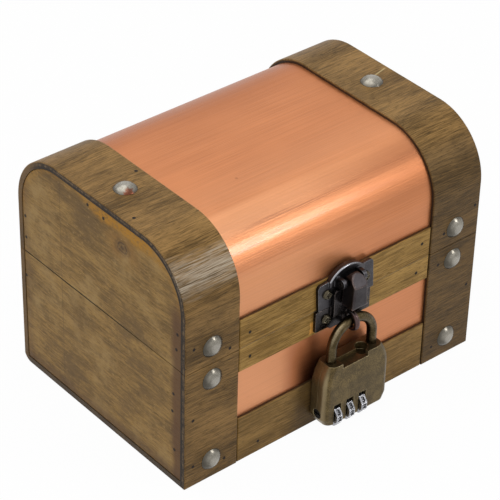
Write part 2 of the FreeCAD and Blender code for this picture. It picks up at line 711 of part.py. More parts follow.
def make_keeper():
    """Plate on the base with a notched leaf that rises over the seam and the ring for the padlock."""
    half = KEEPER_WIDTH / 2
    leaf_half = KEEPER_LEAF_WIDTH / 2
    top = SEAM_HEIGHT
    ear = top - KEEPER_EAR_DROP
    low = top - KEEPER_DROP
    outline = polygon(
        [
            front_point(KEEPER_SHIFT - half, top),
            front_point(KEEPER_SHIFT - half, ear),
            front_point(-leaf_half - PLATE_CORNER_RADIUS, ear),
            front_point(-leaf_half, low),
            front_point(leaf_half, low),
            front_point(leaf_half + PLATE_CORNER_RADIUS, ear),
            front_point(KEEPER_SHIFT + half, ear),
            front_point(KEEPER_SHIFT + half, top),
        ]
    )
    plate = extrude(outline, Vector(0, -PLATE_THICKNESS, 0))
    leaf_back = outward(PLATE_THICKNESS + BODY_CLEARANCE)
    leaf_front = leaf_back - KEEPER_LEAF_THICKNESS
    left = HASP_OFFSET - leaf_half
    right = HASP_OFFSET + leaf_half
    leaf_top_edge = flat_at("Z", top + KEEPER_LEAF_RISE)
    leaf = box(left, right, leaf_front, leaf_back, top - KEEPER_LEAF_DROP, top + KEEPER_LEAF_RISE)
    leaf = round_edges(
        leaf,
        PLATE_CORNER_RADIUS,
        lambda bounds: leaf_top_edge(bounds) and bounds.XLength < FUZZ,
    )
    foot = box(left, right, leaf_back, outward(PLATE_THICKNESS), top - KEEPER_LEAF_DROP, top - SEAM_GAP)
    notch_half = FLAP_TONGUE_WIDTH / 2 + BODY_CLEARANCE
    notch = box(
        HASP_OFFSET - notch_half,
        HASP_OFFSET + notch_half,
        leaf_front - MARGIN,
        leaf_back + BODY_CLEARANCE,
        top - SEAM_GAP,
        REACH,
    )
    ring_bore = SHACKLE_DIAMETER / 2 + RING_CLEARANCE
    ring = Part.makeTorus(
        ring_bore + RING_WIRE_DIAMETER / 2,
        RING_WIRE_DIAMETER / 2,
        front_point(0, CROWN_HEIGHT, PADLOCK_PLANE),
        X_AXIS,
    )
    neck_length = PADLOCK_PLANE - ring_bore - RING_WIRE_DIAMETER / 2
    neck = rod(front_point(0, CROWN_HEIGHT, neck_length), Y_AXIS, neck_length, RING_NECK_DIAMETER)
    return plate.fuse([leaf.cut(notch), foot, ring, neck]).removeSplitter()


# Padlock


def padlock_point(x, z, forward=0.0):
    """Point of the padlock, from its middle plane."""
    return front_point(PADLOCK_SHIFT + x, z, PADLOCK_PLANE + forward)


def bowed(a, b):
    """Arc between two points of the case's outline that stands off its chord by the shoulder's sag."""
    off = Y_AXIS.cross(b - a).normalize() * PADLOCK_SHOULDER_SAG
    return arc(a, (a + b) / 2 + off, b)


def padlock_block():
    """Outside of the padlock case: a satchel outline that thins towards its top."""
    foot = PADLOCK_FOOT_WIDTH / 2
    half = PADLOCK_WIDTH / 2
    shoulder = PADLOCK_TOP_WIDTH / 2
    base = PADLOCK_BOTTOM
    top = PADLOCK_TOP
    knee = base + PADLOCK_FOOT_RISE
    waist = top - PADLOCK_WAIST_DROP
    deep = PADLOCK_THICKNESS / 2
    thin = PADLOCK_TOP_THICKNESS / 2

    def at(x, z):
        return padlock_point(x, z, -deep)

    front_view = [
        line(at(-foot, base), at(foot, base)),
        line(at(foot, base), at(half, knee)),
        line(at(half, knee), at(half, waist)),
        bowed(at(half, waist), at(shoulder, top)),
        line(at(shoulder, top), at(-shoulder, top)),
        bowed(at(-shoulder, top), at(-half, waist)),
        line(at(-half, waist), at(-half, knee)),
        line(at(-half, knee), at(-foot, base)),
    ]
    block = extrude(front_view, Vector(0, -PADLOCK_THICKNESS, 0))

    def side(forward, z):
        return padlock_point(-PADLOCK_WIDTH, z, forward)

    side_view = polygon(
        [
            side(-deep, base),
            side(deep, base),
            side(deep, waist),
            side(thin, top),
            side(-thin, top),
            side(-deep, waist),
        ]
    )
    block = block.common(extrude(side_view, Vector(2 * PADLOCK_WIDTH, 0, 0)))

    middle = outward(PADLOCK_PLANE)

    def front_edge(bounds):
        return bounds.ZLength > FUZZ and bounds.Center.y < middle - FUZZ

    def back_edge(bounds):
        return bounds.ZLength > FUZZ and bounds.Center.y > middle + deep / 2 and bounds.XLength < deep

    block = round_edges(block, PADLOCK_FRONT_ROUND, front_edge)
    return round_edges(block, PADLOCK_BACK_ROUND, back_edge)


def wheel_middles():
    """Middle of each number wheel along the axle."""
    return [WHEEL_SHIFT + (k - (WHEEL_COUNT - 1) / 2) * WHEEL_PITCH for k in range(WHEEL_COUNT)]


def padlock_axle(x0, x1, diameter):
    """Rod along the number wheels' axis."""
    return rod(padlock_point(x0, WHEEL_AXLE_HEIGHT, WHEEL_FORWARD), X_AXIS, x1 - x0, diameter)


def make_shackle():
    """Bent shackle: a long heel leg with a neck, a round crown and a short toe leg."""
    leg = SHACKLE_SPACING / 2
    bend = CROWN_HEIGHT - leg
    crown = Part.makeTorus(leg, SHACKLE_DIAMETER / 2, padlock_point(0, bend), Y_AXIS)
    crown = crown.common(box(-REACH, REACH, -REACH, REACH, bend, REACH))
    heel_end = PADLOCK_TOP - HEEL_DEPTH
    heel = rod(padlock_point(-leg, heel_end), Z_AXIS, bend - heel_end, SHACKLE_DIAMETER)
    neck_low = heel_end + HEEL_FOOT_LENGTH
    neck = rod(padlock_point(-leg, neck_low), Z_AXIS, HEEL_NECK_LENGTH, 2 * SHACKLE_DIAMETER)
    neck = neck.cut(rod(padlock_point(-leg, neck_low), Z_AXIS, HEEL_NECK_LENGTH, HEEL_NECK_DIAMETER))
    toe_end = PADLOCK_TOP - TOE_DEPTH
    toe = rod(padlock_point(leg, toe_end), Z_AXIS, bend - toe_end, SHACKLE_DIAMETER)
    return crown.fuse([heel.cut(neck), toe]).removeSplitter()


def stop_pin():
    """Pin across the case that rides in the heel leg's neck and keeps the shackle from pulling out."""
    x = (HEEL_NECK_DIAMETER + STOP_PIN_DIAMETER - SHACKLE_SPACING) / 2 + SHACKLE_RUNNING
    z = PADLOCK_TOP - HEEL_NECK_DEPTH - STOP_PIN_DIAMETER
    return rod(padlock_point(x, z, STOP_PIN_LENGTH / 2), Y_AXIS, STOP_PIN_LENGTH, STOP_PIN_DIAMETER)


def reset_plug(x0, x1):
    """Rod along the reset plug's axis, in from the left side of the case."""
    start = padlock_point(x0, PADLOCK_BOTTOM + RESET_PLUG_RISE)
    return rod(start, X_AXIS, x1 - x0, RESET_PLUG_DIAMETER)


def case_cuts():
    """Holes of the case: shackle legs, latch pocket, axle, reset plug, stop pin and wheel windows."""
    leg = SHACKLE_SPACING / 2
    hole = SHACKLE_DIAMETER + 2 * SHACKLE_RUNNING
    top = PADLOCK_TOP
    left = -PADLOCK_WIDTH / 2
    pocket = padlock_point(leg - LATCH_POCKET_OFFSET, top - LATCH_POCKET_DEPTH)
    cuts = [
        rod(padlock_point(-leg, top - HEEL_DEPTH - LEG_HOLE_ROOM), Z_AXIS, REACH, hole),
        rod(padlock_point(leg, top - TOE_DEPTH - LEG_HOLE_ROOM), Z_AXIS, REACH, hole),
        rod(pocket, Z_AXIS, REACH, LATCH_POCKET_DIAMETER),
        wheel_axle(),
        reset_plug(left - MARGIN, left + RESET_PLUG_DEPTH),
        stop_pin(),
    ]
    room = WHEEL_DIAMETER + 2 * WHEEL_CLEARANCE
    side = WHEEL_WIDTH / 2 + WHEEL_SIDE_CLEARANCE
    window_back = outward(PADLOCK_PLANE + WHEEL_FORWARD)
    for x in wheel_middles():
        middle = padlock_point(x, 0).x
        cuts.append(padlock_axle(x - side, x + side, room))
        window_top = PADLOCK_BOTTOM + WHEEL_WINDOW_HEIGHT
        cuts.append(box(middle - side, middle + side, -REACH, window_back, 0, window_top))
    return cuts


def wheel_axle():
    """Axle of the number wheels."""
    middles = wheel_middles()
    reach = WHEEL_WIDTH / 2 + WHEEL_AXLE_OVERHANG
    return padlock_axle(middles[0] - reach, middles[-1] + reach, WHEEL_AXLE_DIAMETER)


def make_padlock(parts):
    """Case in two halves, shackle, number wheels on their axle, stop pin and reset plug."""
    case = padlock_block()
    for tool in case_cuts():
        case = case.cut(tool)
    split = outward(PADLOCK_PLANE)
    # The front half's top edge is stepped down between the shackle's legs.
    step = box(
        padlock_point(-PADLOCK_STEP_LEFT, 0).x,
        padlock_point(PADLOCK_STEP_RIGHT, 0).x,
        split - REACH,
        split,
        PADLOCK_TOP - PADLOCK_TOP_STEP,
        REACH,
    )
    front = case.common(box(-REACH, REACH, split - REACH, split, 0, REACH))
    parts["padlock_front_case"] = front.cut(step)
    parts["padlock_back_case"] = case.common(box(-REACH, REACH, split, split + REACH, 0, REACH))
    parts["padlock_shackle"] = make_shackle()
    parts["padlock_wheel_axle"] = wheel_axle()
    left = -PADLOCK_WIDTH / 2
    plug = reset_plug(left + RESET_PLUG_INSET, left + RESET_PLUG_DEPTH)
    slot_middle = PADLOCK_BOTTOM + RESET_PLUG_RISE
    slot_edge = RESET_SLOT_WIDTH / 2
    turning_slot = box(
        -REACH,
        padlock_point(left + RESET_PLUG_INSET + RESET_SLOT_DEPTH, 0).x,
        -REACH,
        REACH,
        slot_middle - slot_edge,
        slot_middle + slot_edge,
    )
    parts["padlock_reset_plug"] = plug.cut(turning_slot)
    parts["padlock_stop_pin"] = stop_pin()
    for name, x in zip(("left", "middle", "right"), wheel_middles()):
        parts["padlock_%s_wheel" % name] = number_wheel(x)


def number_wheel(x):
    """Number wheel with a sunk flat panel for each digit and a flute between neighbouring digits."""
    half = WHEEL_WIDTH / 2
    axis = padlock_point(x - half, WHEEL_AXLE_HEIGHT, WHEEL_FORWARD)
    radius = WHEEL_DIAMETER / 2
    step = 2 * math.pi / WHEEL_DIGITS

    def corner(k):
        turn = step * (k + 0.5)
        return axis + Vector(0, -radius * math.cos(turn), radius * math.sin(turn))

    corners = [corner(k) for k in range(WHEEL_DIGITS)]
    wheel = extrude(polygon(corners), Vector(WHEEL_WIDTH, 0, 0))
    wheel = wheel.makeChamfer(WHEEL_CHAMFER, [edge for edge in wheel.Edges if edge.BoundBox.XLength < FUZZ])
    for place in corners:
        wheel = wheel.cut(rod(place, X_AXIS, WHEEL_WIDTH, WHEEL_FLUTE_DIAMETER))
    panel_floor = radius * math.cos(step / 2) - WHEEL_PANEL_DEPTH
    middle = axis + X_AXIS * half
    for k in range(WHEEL_DIGITS):
        panel = box(
            middle.x - WHEEL_PANEL_WIDTH / 2,
            middle.x + WHEEL_PANEL_WIDTH / 2,
            middle.y - WHEEL_DIAMETER,
            middle.y - panel_floor,
            middle.z - WHEEL_PANEL_HEIGHT / 2,
            middle.z + WHEEL_PANEL_HEIGHT / 2,
        )
        panel.rotate(middle, X_AXIS, -math.degrees(k * step))
        wheel = wheel.cut(panel)
    return wheel.cut(padlock_axle(x - half, x + half, WHEEL_AXLE_DIAMETER + 2 * RUNNING_CLEARANCE))


def make_fasteners(parts):
    """Nail and screw groups, each a set of separate solids."""
    base_nails, lid_nails = nail_places()
    parts["base_dome_nails"] = Part.makeCompound([dome_nail(*spot) for spot in base_nails])
    parts["lid_dome_nails"] = Part.makeCompound([dome_nail(*spot) for spot in lid_nails])
    for name, places in screw_rows().items():
        into = Y_AXIS if name.startswith("hasp") else -Y_AXIS
        parts[name + "_screws"] = Part.makeCompound([screw(place, into) for place in places])


def build():
    """All pieces of the money box by name."""
    holes = wood_bores()
    parts = {}
    make_base(parts)
    make_lid(parts)
    parts["hasp_lid_plate"] = make_lid_plate()
    parts["hasp_keeper"] = make_keeper()
    parts = {name: cut_all(shape, holes) for name, shape in parts.items()}
    parts["hasp_flap"] = make_flap()
    parts["hasp_pin"] = hasp_pin()
    make_hinges(parts, holes)
    make_padlock(parts)
    make_fasteners(parts)
    return parts


def main():
    """Write one STEP file for each piece."""
    os.makedirs("parts", exist_ok=True)
    for name, shape in build().items():
        shape.exportStep("parts/%s.step" % name)
        state = "valid" if shape.isValid() else "NOT VALID"
        print("%-26s solids %2d  volume %9.1f  %s" % (name, len(shape.Solids), shape.Volume, state))


main()
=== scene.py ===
"""Looks of a wooden treasure-chest money box with a copper skin, a hasp and a combination padlock."""
import logging
import math
from dataclasses import dataclass
from enum import Enum
from typing import Any, Iterable, Union

import bmesh
import bpy
from mathutils import Matrix, Vector


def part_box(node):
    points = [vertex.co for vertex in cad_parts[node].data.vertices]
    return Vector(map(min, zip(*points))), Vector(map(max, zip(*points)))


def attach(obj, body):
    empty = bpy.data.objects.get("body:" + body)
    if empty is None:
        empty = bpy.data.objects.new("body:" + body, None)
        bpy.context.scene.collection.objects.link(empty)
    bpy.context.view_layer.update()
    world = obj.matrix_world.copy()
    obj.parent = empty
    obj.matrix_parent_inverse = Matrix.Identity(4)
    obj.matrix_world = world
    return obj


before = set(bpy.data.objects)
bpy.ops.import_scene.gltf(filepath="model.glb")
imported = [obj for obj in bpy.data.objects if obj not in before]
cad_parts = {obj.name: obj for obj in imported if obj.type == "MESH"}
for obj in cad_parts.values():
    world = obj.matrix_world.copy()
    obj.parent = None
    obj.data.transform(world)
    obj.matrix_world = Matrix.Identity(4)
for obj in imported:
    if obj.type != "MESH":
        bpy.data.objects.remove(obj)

LOG = logging.getLogger("money_box")
MM = 0.001
Colour = tuple[float, float, float]
Spot = tuple[float, float, float]
# Sizes of the chest in millimetres: height of the joint of lid and base, half the width, bands' inner side.
SEAM = 55.75
HALF_WIDTH = 75.0
BAND_INSIDE = 49.25
# Shift of a finish's pattern per seed in millimetres, so that two boards differ.
SEED_STEP: Spot = (37.1, 11.7, 23.3)
# Sockets of a Mix node that mixes colours; their names repeat, so they go by number.
MIX_SHARE, MIX_FIRST, MIX_SECOND, MIX_RESULT = 0, 6, 7, 2
BEVEL_SAMPLES = 6
WELD_DISTANCE = 1e-7


class Grain(Enum):
    """Direction in which a board's grain runs."""

    ALONG_FRONT = "X"
    ALONG_DEPTH = "Y"


class Side(Enum):
    """Face of the chest that a brad is driven into."""

    LEFT_END = "left end"
    FRONT = "front"
    TOP = "top"


class Tint:
    """Colours of the marks on the finishes, named by what they show."""

    # Pale cut wood at the seam, partly painted light that lifts the shade in the gap.
    SAWN_FACE_PAINTED_LIGHT: Colour = (0.5, 0.36, 0.19)
    # Painted shade on the fronts of the bands.
    FRONT_PAINTED_SHADE: Colour = (0.03, 0.02, 0.01)
    # Grey painted sheen on the bands' front bend.
    BEND_PAINTED_SHEEN: Colour = (0.49, 0.405, 0.3)
    SCRATCH: Colour = (0.55, 0.42, 0.2)
    PLY_EDGE: Colour = (0.135, 0.076, 0.03)
    SOOT: Colour = (0.02, 0.013, 0.008)
    GLUE_LINE: Colour = (0.19, 0.135, 0.075)
    PLY_CRACK: Colour = (0.014, 0.008, 0.004)
    # Painted shade on the bands' inner sides beside the copper.
    INNER_SIDE_PAINTED_SHADE: Colour = (0.024, 0.015, 0.01)
    # Painted shade on the slats' upper faces.
    SLAT_TOP_PAINTED_SHADE: Colour = (0.026, 0.012, 0.01)
    CHIP: Colour = (0.66, 0.31, 0.06)
    # Painted shadow of the padlock on the lower slat.
    SLAT_PADLOCK_SHADOW: Colour = (0.045, 0.027, 0.012)
    PALE_CLOUD: Colour = (0.37, 0.235, 0.085)
    DARK_CLOUD: Colour = (0.12, 0.068, 0.022)
    PALE_FLECK: Colour = (0.42, 0.27, 0.1)
    AMBER_STAIN: Colour = (0.42, 0.19, 0.012)
    FRONT_RUB: Colour = (0.105, 0.046, 0.016)
    BACK_RUB: Colour = (0.125, 0.062, 0.024)
    DARK_FOOT: Colour = (0.11, 0.056, 0.022)
    SEAM_LINE: Colour = (0.022, 0.014, 0.007)
    GLUE_JOINT: Colour = (0.07, 0.045, 0.02)
    KNOT_HALO: Colour = (0.29, 0.145, 0.032)
    KNOT_RINGS: Colour = (0.07, 0.038, 0.014)
    BARE_PORES: Colour = (0.2, 0.12, 0.06)
    COPPER_NICK: Colour = (0.3, 0.1, 0.045)
    # Painted shade on the copper towards the back.
    BACK_PAINTED_SHADE: Colour = (0.32, 0.098, 0.037)
    # Painted highlight on the copper.
    PAINTED_COPPER_HIGHLIGHT: Colour = (0.9, 0.44, 0.22)
    # Painted shadow of the padlock on the copper: its orange-brown rim and its dark core.
    PADLOCK_SHADOW_HALO: Colour = (0.4, 0.1, 0.026)
    PADLOCK_SHADOW: Colour = (0.055, 0.011, 0.004)
    # Painted shade on the right part of the copper's bend.
    BEND_RIGHT_PAINTED_SHADE: Colour = (0.33, 0.112, 0.043)
    # Dark colour of the scuff and the speck, also used as painted shade above the highlight.
    COPPER_SCUFF_AND_SHADE: Colour = (0.25, 0.08, 0.03)
    NAIL_PAINTED_SHADE: Colour = (0.06, 0.053, 0.042)
    NAIL_RIM_PAINTED_SHADE: Colour = (0.07, 0.062, 0.05)
    NAIL_CROWN_PAINTED_HIGHLIGHT: Colour = (0.5, 0.47, 0.42)
    RUST: Colour = (0.14, 0.042, 0.02)
    PLATE_SIDE_PAINTED_SHADE: Colour = (0.014, 0.012, 0.012)
    FLAP_BEVEL_PAINTED_SHADE: Colour = (0.02, 0.018, 0.019)
    CASE_SIDE: Colour = (0.27, 0.205, 0.11)
    CASE_TOP: Colour = (0.03, 0.021, 0.011)


class Wire:
    """A socket inside a material that takes part in arithmetic."""

    def __init__(self, web: "Web", socket: bpy.types.NodeSocket) -> None:
        """Keep the socket and the node tree that it belongs to."""
        self.web = web
        self.socket = socket

    def __add__(self, other: "Value") -> "Wire":
        """Sum."""
        return self.web.math("ADD", self, other)

    def __radd__(self, other: "Value") -> "Wire":
        """Sum with a plain number first."""
        return self.web.math("ADD", other, self)

    def __sub__(self, other: "Value") -> "Wire":
        """Difference."""
        return self.web.math("SUBTRACT", self, other)

    def __rsub__(self, other: "Value") -> "Wire":
        """Difference with a plain number first."""
        return self.web.math("SUBTRACT", other, self)

    def __mul__(self, other: "Value") -> "Wire":
        """Product."""
        return self.web.math("MULTIPLY", self, other)

    def __rmul__(self, other: "Value") -> "Wire":
        """Product with a plain number first."""
        return self.web.math("MULTIPLY", other, self)

    def __abs__(self) -> "Wire":
        """Absolute value."""
        return self.web.math("ABSOLUTE", self)

    def most(self, other: "Value") -> "Wire":
        """Larger of two values."""
        return self.web.math("MAXIMUM", self, other)

    def least(self, other: "Value") -> "Wire":
        """Smaller of two values."""
        return self.web.math("MINIMUM", self, other)

    def rise(self, low: float, high: float) -> "Wire":
        """Smooth ramp from 0 at low to 1 at high; low may be the larger.

        Args:
            low: Value at which the ramp starts.
            high: Value at which the ramp is complete.

        Returns:
            The ramp.
        """
        sockets = {"Value": self, "From Min": min(low, high), "From Max": max(low, high)}
        ramp = self.web.node("ShaderNodeMapRange", {"interpolation_type": "SMOOTHSTEP"}, sockets)
        return ramp if low <= high else 1 - ramp


Value = Union[Wire, float, int, tuple]
Settings = dict[str, Any]
Sockets = dict[Union[int, str], Value]


class Web:
    """Node tree of one material or of the world."""

    def __init__(self, tree: bpy.types.NodeTree) -> None:
        """Start from an empty tree."""
        self.tree = tree
        self.tree.nodes.clear()

    def add(self, kind: str, settings: Settings, sockets: Sockets) -> bpy.types.Node:
        """Add one node.

        Args:
            kind: Blender's type name of the node.
            settings: Attributes to set before the sockets are filled.
            sockets: Values or links by socket name or number.

        Returns:
            The node.
        """
        made = self.tree.nodes.new(kind)
        for name, value in settings.items():
            setattr(made, name, value)
        for key, value in sockets.items():
            if isinstance(value, Wire):
                self.tree.links.new(value.socket, made.inputs[key])
            else:
                made.inputs[key].default_value = value
        return made

    def node(self, kind: str, settings: Settings, sockets: Sockets, out: Union[int, str] = 0) -> Wire:
        """Output of one new node, the first if no other is named."""
        return Wire(self, self.add(kind, settings, sockets).outputs[out])

    def math(self, operation: str, *values: Value) -> Wire:
        """Add a Math node for one operation on values."""
        return self.node("ShaderNodeMath", {"operation": operation}, dict(enumerate(values)))

    def vector(self, operation: str, *values: Value, out: str = "Vector") -> Wire:
        """Add a Vector Math node for one operation; a plain number comes from the output Value."""
        return self.node("ShaderNodeVectorMath", {"operation": operation}, dict(enumerate(values)), out)

    def place(self, seed: float = 0.0) -> Wire:
        """Object coordinates in millimetres, shifted by a seed so that two boards differ."""
        raw = self.node("ShaderNodeTexCoord", {}, {}, "Object")
        shift = tuple(seed * step for step in SEED_STEP)
        return self.vector("MULTIPLY_ADD", raw, (1 / MM,) * 3, shift)

    def axes(self, vector: Wire) -> tuple[Wire, Wire, Wire]:
        """Three coordinates of a vector."""
        x, y, z = self.add("ShaderNodeSeparateXYZ", {}, {0: vector}).outputs
        return Wire(self, x), Wire(self, y), Wire(self, z)

    def stretch(self, vector: Wire, factors: Union[float, Spot]) -> Wire:
        """Vector scaled by one factor, or by a factor along each axis."""
        if isinstance(factors, float):
            factors = (factors,) * 3
        return self.vector("MULTIPLY", vector, factors)

    def near(self, vector: Wire, point: Spot) -> Wire:
        """Distance from a fixed point."""
        return self.vector("DISTANCE", vector, point, out="Value")

    def facing(self) -> Wire:
        """Normal of the surface in the piece's own frame."""
        return self.node("ShaderNodeTexCoord", {}, {}, "Normal")

    def along(self, vector: Wire, direction: Value) -> Wire:
        """Part of a vector that points along a direction."""
        return self.vector("DOT_PRODUCT", vector, direction, out="Value")

    def noise(self, vector: Wire, detail: float = 3.0, rough: float = 0.55) -> Wire:
        """Cloudy value between about 0.2 and 0.8."""
        sockets = {"Vector": vector, "Scale": 1.0, "Detail": detail, "Roughness": rough}
        return self.node("ShaderNodeTexNoise", {}, sockets)

    def tint(self, mask: Value, first: Value, second: Value) -> Wire:
        """Mix of two colours.

        Args:
            mask: Share of the second colour.
            first: Colour where the mask is 0.
            second: Colour where the mask is 1.

        Returns:
            The mixed colour.
        """
        first = first if isinstance(first, Wire) else (*first, 1.0)
        second = second if isinstance(second, Wire) else (*second, 1.0)
        sockets = {MIX_SHARE: mask, MIX_FIRST: first, MIX_SECOND: second}
        return self.node("ShaderNodeMix", {"data_type": "RGBA"}, sockets, MIX_RESULT)

    def rounded(self, radius: float) -> Wire:
        """Normal of the surface with its edges rounded by a radius in millimetres."""
        return self.node("ShaderNodeBevel", {"samples": BEVEL_SAMPLES}, {"Radius": radius * MM})

    def edges(self, radius: float) -> Wire:
        """Mask that is 1 on outer and inner edges within a radius in millimetres."""
        true = self.node("ShaderNodeNewGeometry", {}, {}, "Normal")
        same = self.along(self.rounded(radius), true)
        return (1 - same).rise(0.01, 0.16)

    def bump(self, height: Wire, depth: float, radius: float = 0.0) -> Wire:
        """Normal of a relief.

        Args:
            height: Relief between 0 and 1.
            depth: Depth of the relief in millimetres.
            radius: Radius that sharp edges look rounded by, in millimetres.

        Returns:
            The normal.
        """
        sockets: Sockets = {"Strength": 1.0, "Distance": depth * MM, "Height": height}
        if radius:
            sockets["Normal"] = self.rounded(radius)
        return self.node("ShaderNodeBump", {}, sockets)

    def surface(self, **sockets: Value) -> None:
        """Finish the tree with a Principled shader whose socket names use underscores for spaces."""
        named = {name.replace("_", " "): value for name, value in sockets.items()}
        self.close(self.node("ShaderNodeBsdfPrincipled", {}, named))

    def close(self, shader: Wire) -> None:
        """Link a shader to the material's output."""
        self.add("ShaderNodeOutputMaterial", {}, {"Surface": shader})


@dataclass(frozen=True)
class Finish:
    """A named procedural finish."""

    name: str

    def make(self) -> bpy.types.Material:
        """Material of this finish, made once."""
        title = "look_" + self.name
        known = bpy.data.materials.get(title)
        if known is not None:
            return known
        material = bpy.data.materials.new(title)
        material.use_nodes = True
        self.weave(Web(material.node_tree))
        return material

    def weave(self, web: Web) -> None:
        """Build the finish's nodes."""
        raise NotImplementedError


@dataclass(frozen=True)
class ArchShape:
    """Side-view outline of the chest over its bands, in millimetres."""

    half_depth: float = 52.5
    top: float = 106.0
    radius: float = 26.0

    def depth(self, web: Web, y: Wire, z: Wire) -> Wire:
        """Depth below the outline.

        Args:
            web: Node tree to add to.
            y: Coordinate from front to back.
            z: Height.

        Returns:
            The depth in millimetres.
        """
        side = (abs(y) - (self.half_depth - self.radius)).most(0.0)
        rise = (z - (self.top - self.radius)).most(0.0)
        return self.radius - web.math("SQRT", side * side + rise * rise)


ARCH = ArchShape()


@dataclass(frozen=True)
class StainedWood(Finish):
    """Stained board with streaks, pores and blotches."""

    dark: Colour
    light: Colour
    grain: Grain
    seed: float = 0.0
    streak_width: float = 0.6
    streak_length: float = 16.0
    blotch: float = 0.3
    contrast: float = 1.0
    gloss: float = 0.45

    def run(self, width: float, length: float) -> Spot:
        """Stretch factors for a pattern of this width across the grain and length along it."""
        if self.grain is Grain.ALONG_FRONT:
            return 1 / length, 1 / width, 1 / width
        return 1 / width, 1 / length, 1 / width

    def weave(self, web: Web) -> None:
        """Build the finish's nodes."""
        place = web.place(self.seed)
        wander = web.noise(web.stretch(place, 0.03), detail=2.0)
        bent = web.vector("ADD", place, web.stretch(wander, 2.4))
        pattern = self.run(self.streak_width, self.streak_length)
        streak = web.noise(web.stretch(bent, pattern), detail=5.0, rough=0.64)
        fine = web.noise(web.stretch(bent, self.run(0.24, 6.0)), detail=3.0, rough=0.6)
        pores = web.noise(web.stretch(bent, self.run(0.34, 3.0)), detail=2.0, rough=0.6).rise(0.57, 0.68)
        broad = web.noise(web.stretch(bent, self.run(9.0, 45.0)), detail=3.0)
        share = (streak - 0.5) * (1.5 * self.contrast) + (broad - 0.5) * 1.0 + (fine - 0.5) * 0.9 + 0.5
        colour = web.tint(share.rise(0.1, 0.9), self.dark, self.light)
        colour = web.tint(pores * (0.5 * self.contrast), colour, self.darker(0.35))
        blotches = web.noise(web.stretch(place, 0.06), detail=4.0, rough=0.6)
        colour = web.tint(blotches.rise(0.5, 0.72) * self.blotch, colour, self.darker(0.62))
        colour = self.marks(web, colour)
        rough = self.gloss + (streak - 0.5) * 0.18 + pores * 0.12
        normal = web.bump(fine * 0.4 + streak * 0.4 - pores * 0.6, 0.06, 0.3)
        web.surface(Base_Color=colour, Roughness=rough, Normal=normal, Specular_IOR_Level=0.13)

    def darker(self, share: float) -> Colour:
        """Share of the board's dark colour."""
        red, green, blue = self.dark
        return share * red, share * green, share * blue

    def marks(self, web: Web, colour: Wire) -> Wire:
        """Colour with this board's own marks; the plain one has none."""
        return colour

    def sawn_and_lit(self, web: Web, colour: Wire, z: Wire) -> Wire:
        """Colour with the pale cut faces where the lid meets the base, lightened as painted light against
        the shade in the seam.

        Args:
            web: Node tree to add to.
            colour: Colour of the board.
            z: Height.

        Returns:
            The colour with the sawn faces.
        """
        # Painted light: flat faces at the seam are lightened towards pale cut wood, lifting the shade in
        # the gap.
        flat = abs(web.axes(web.facing())[2]).rise(0.7, 0.9)
        cut = flat * abs(z - SEAM).rise(0.5, 0.3)
        return web.tint(cut, colour, Tint.SAWN_FACE_PAINTED_LIGHT)


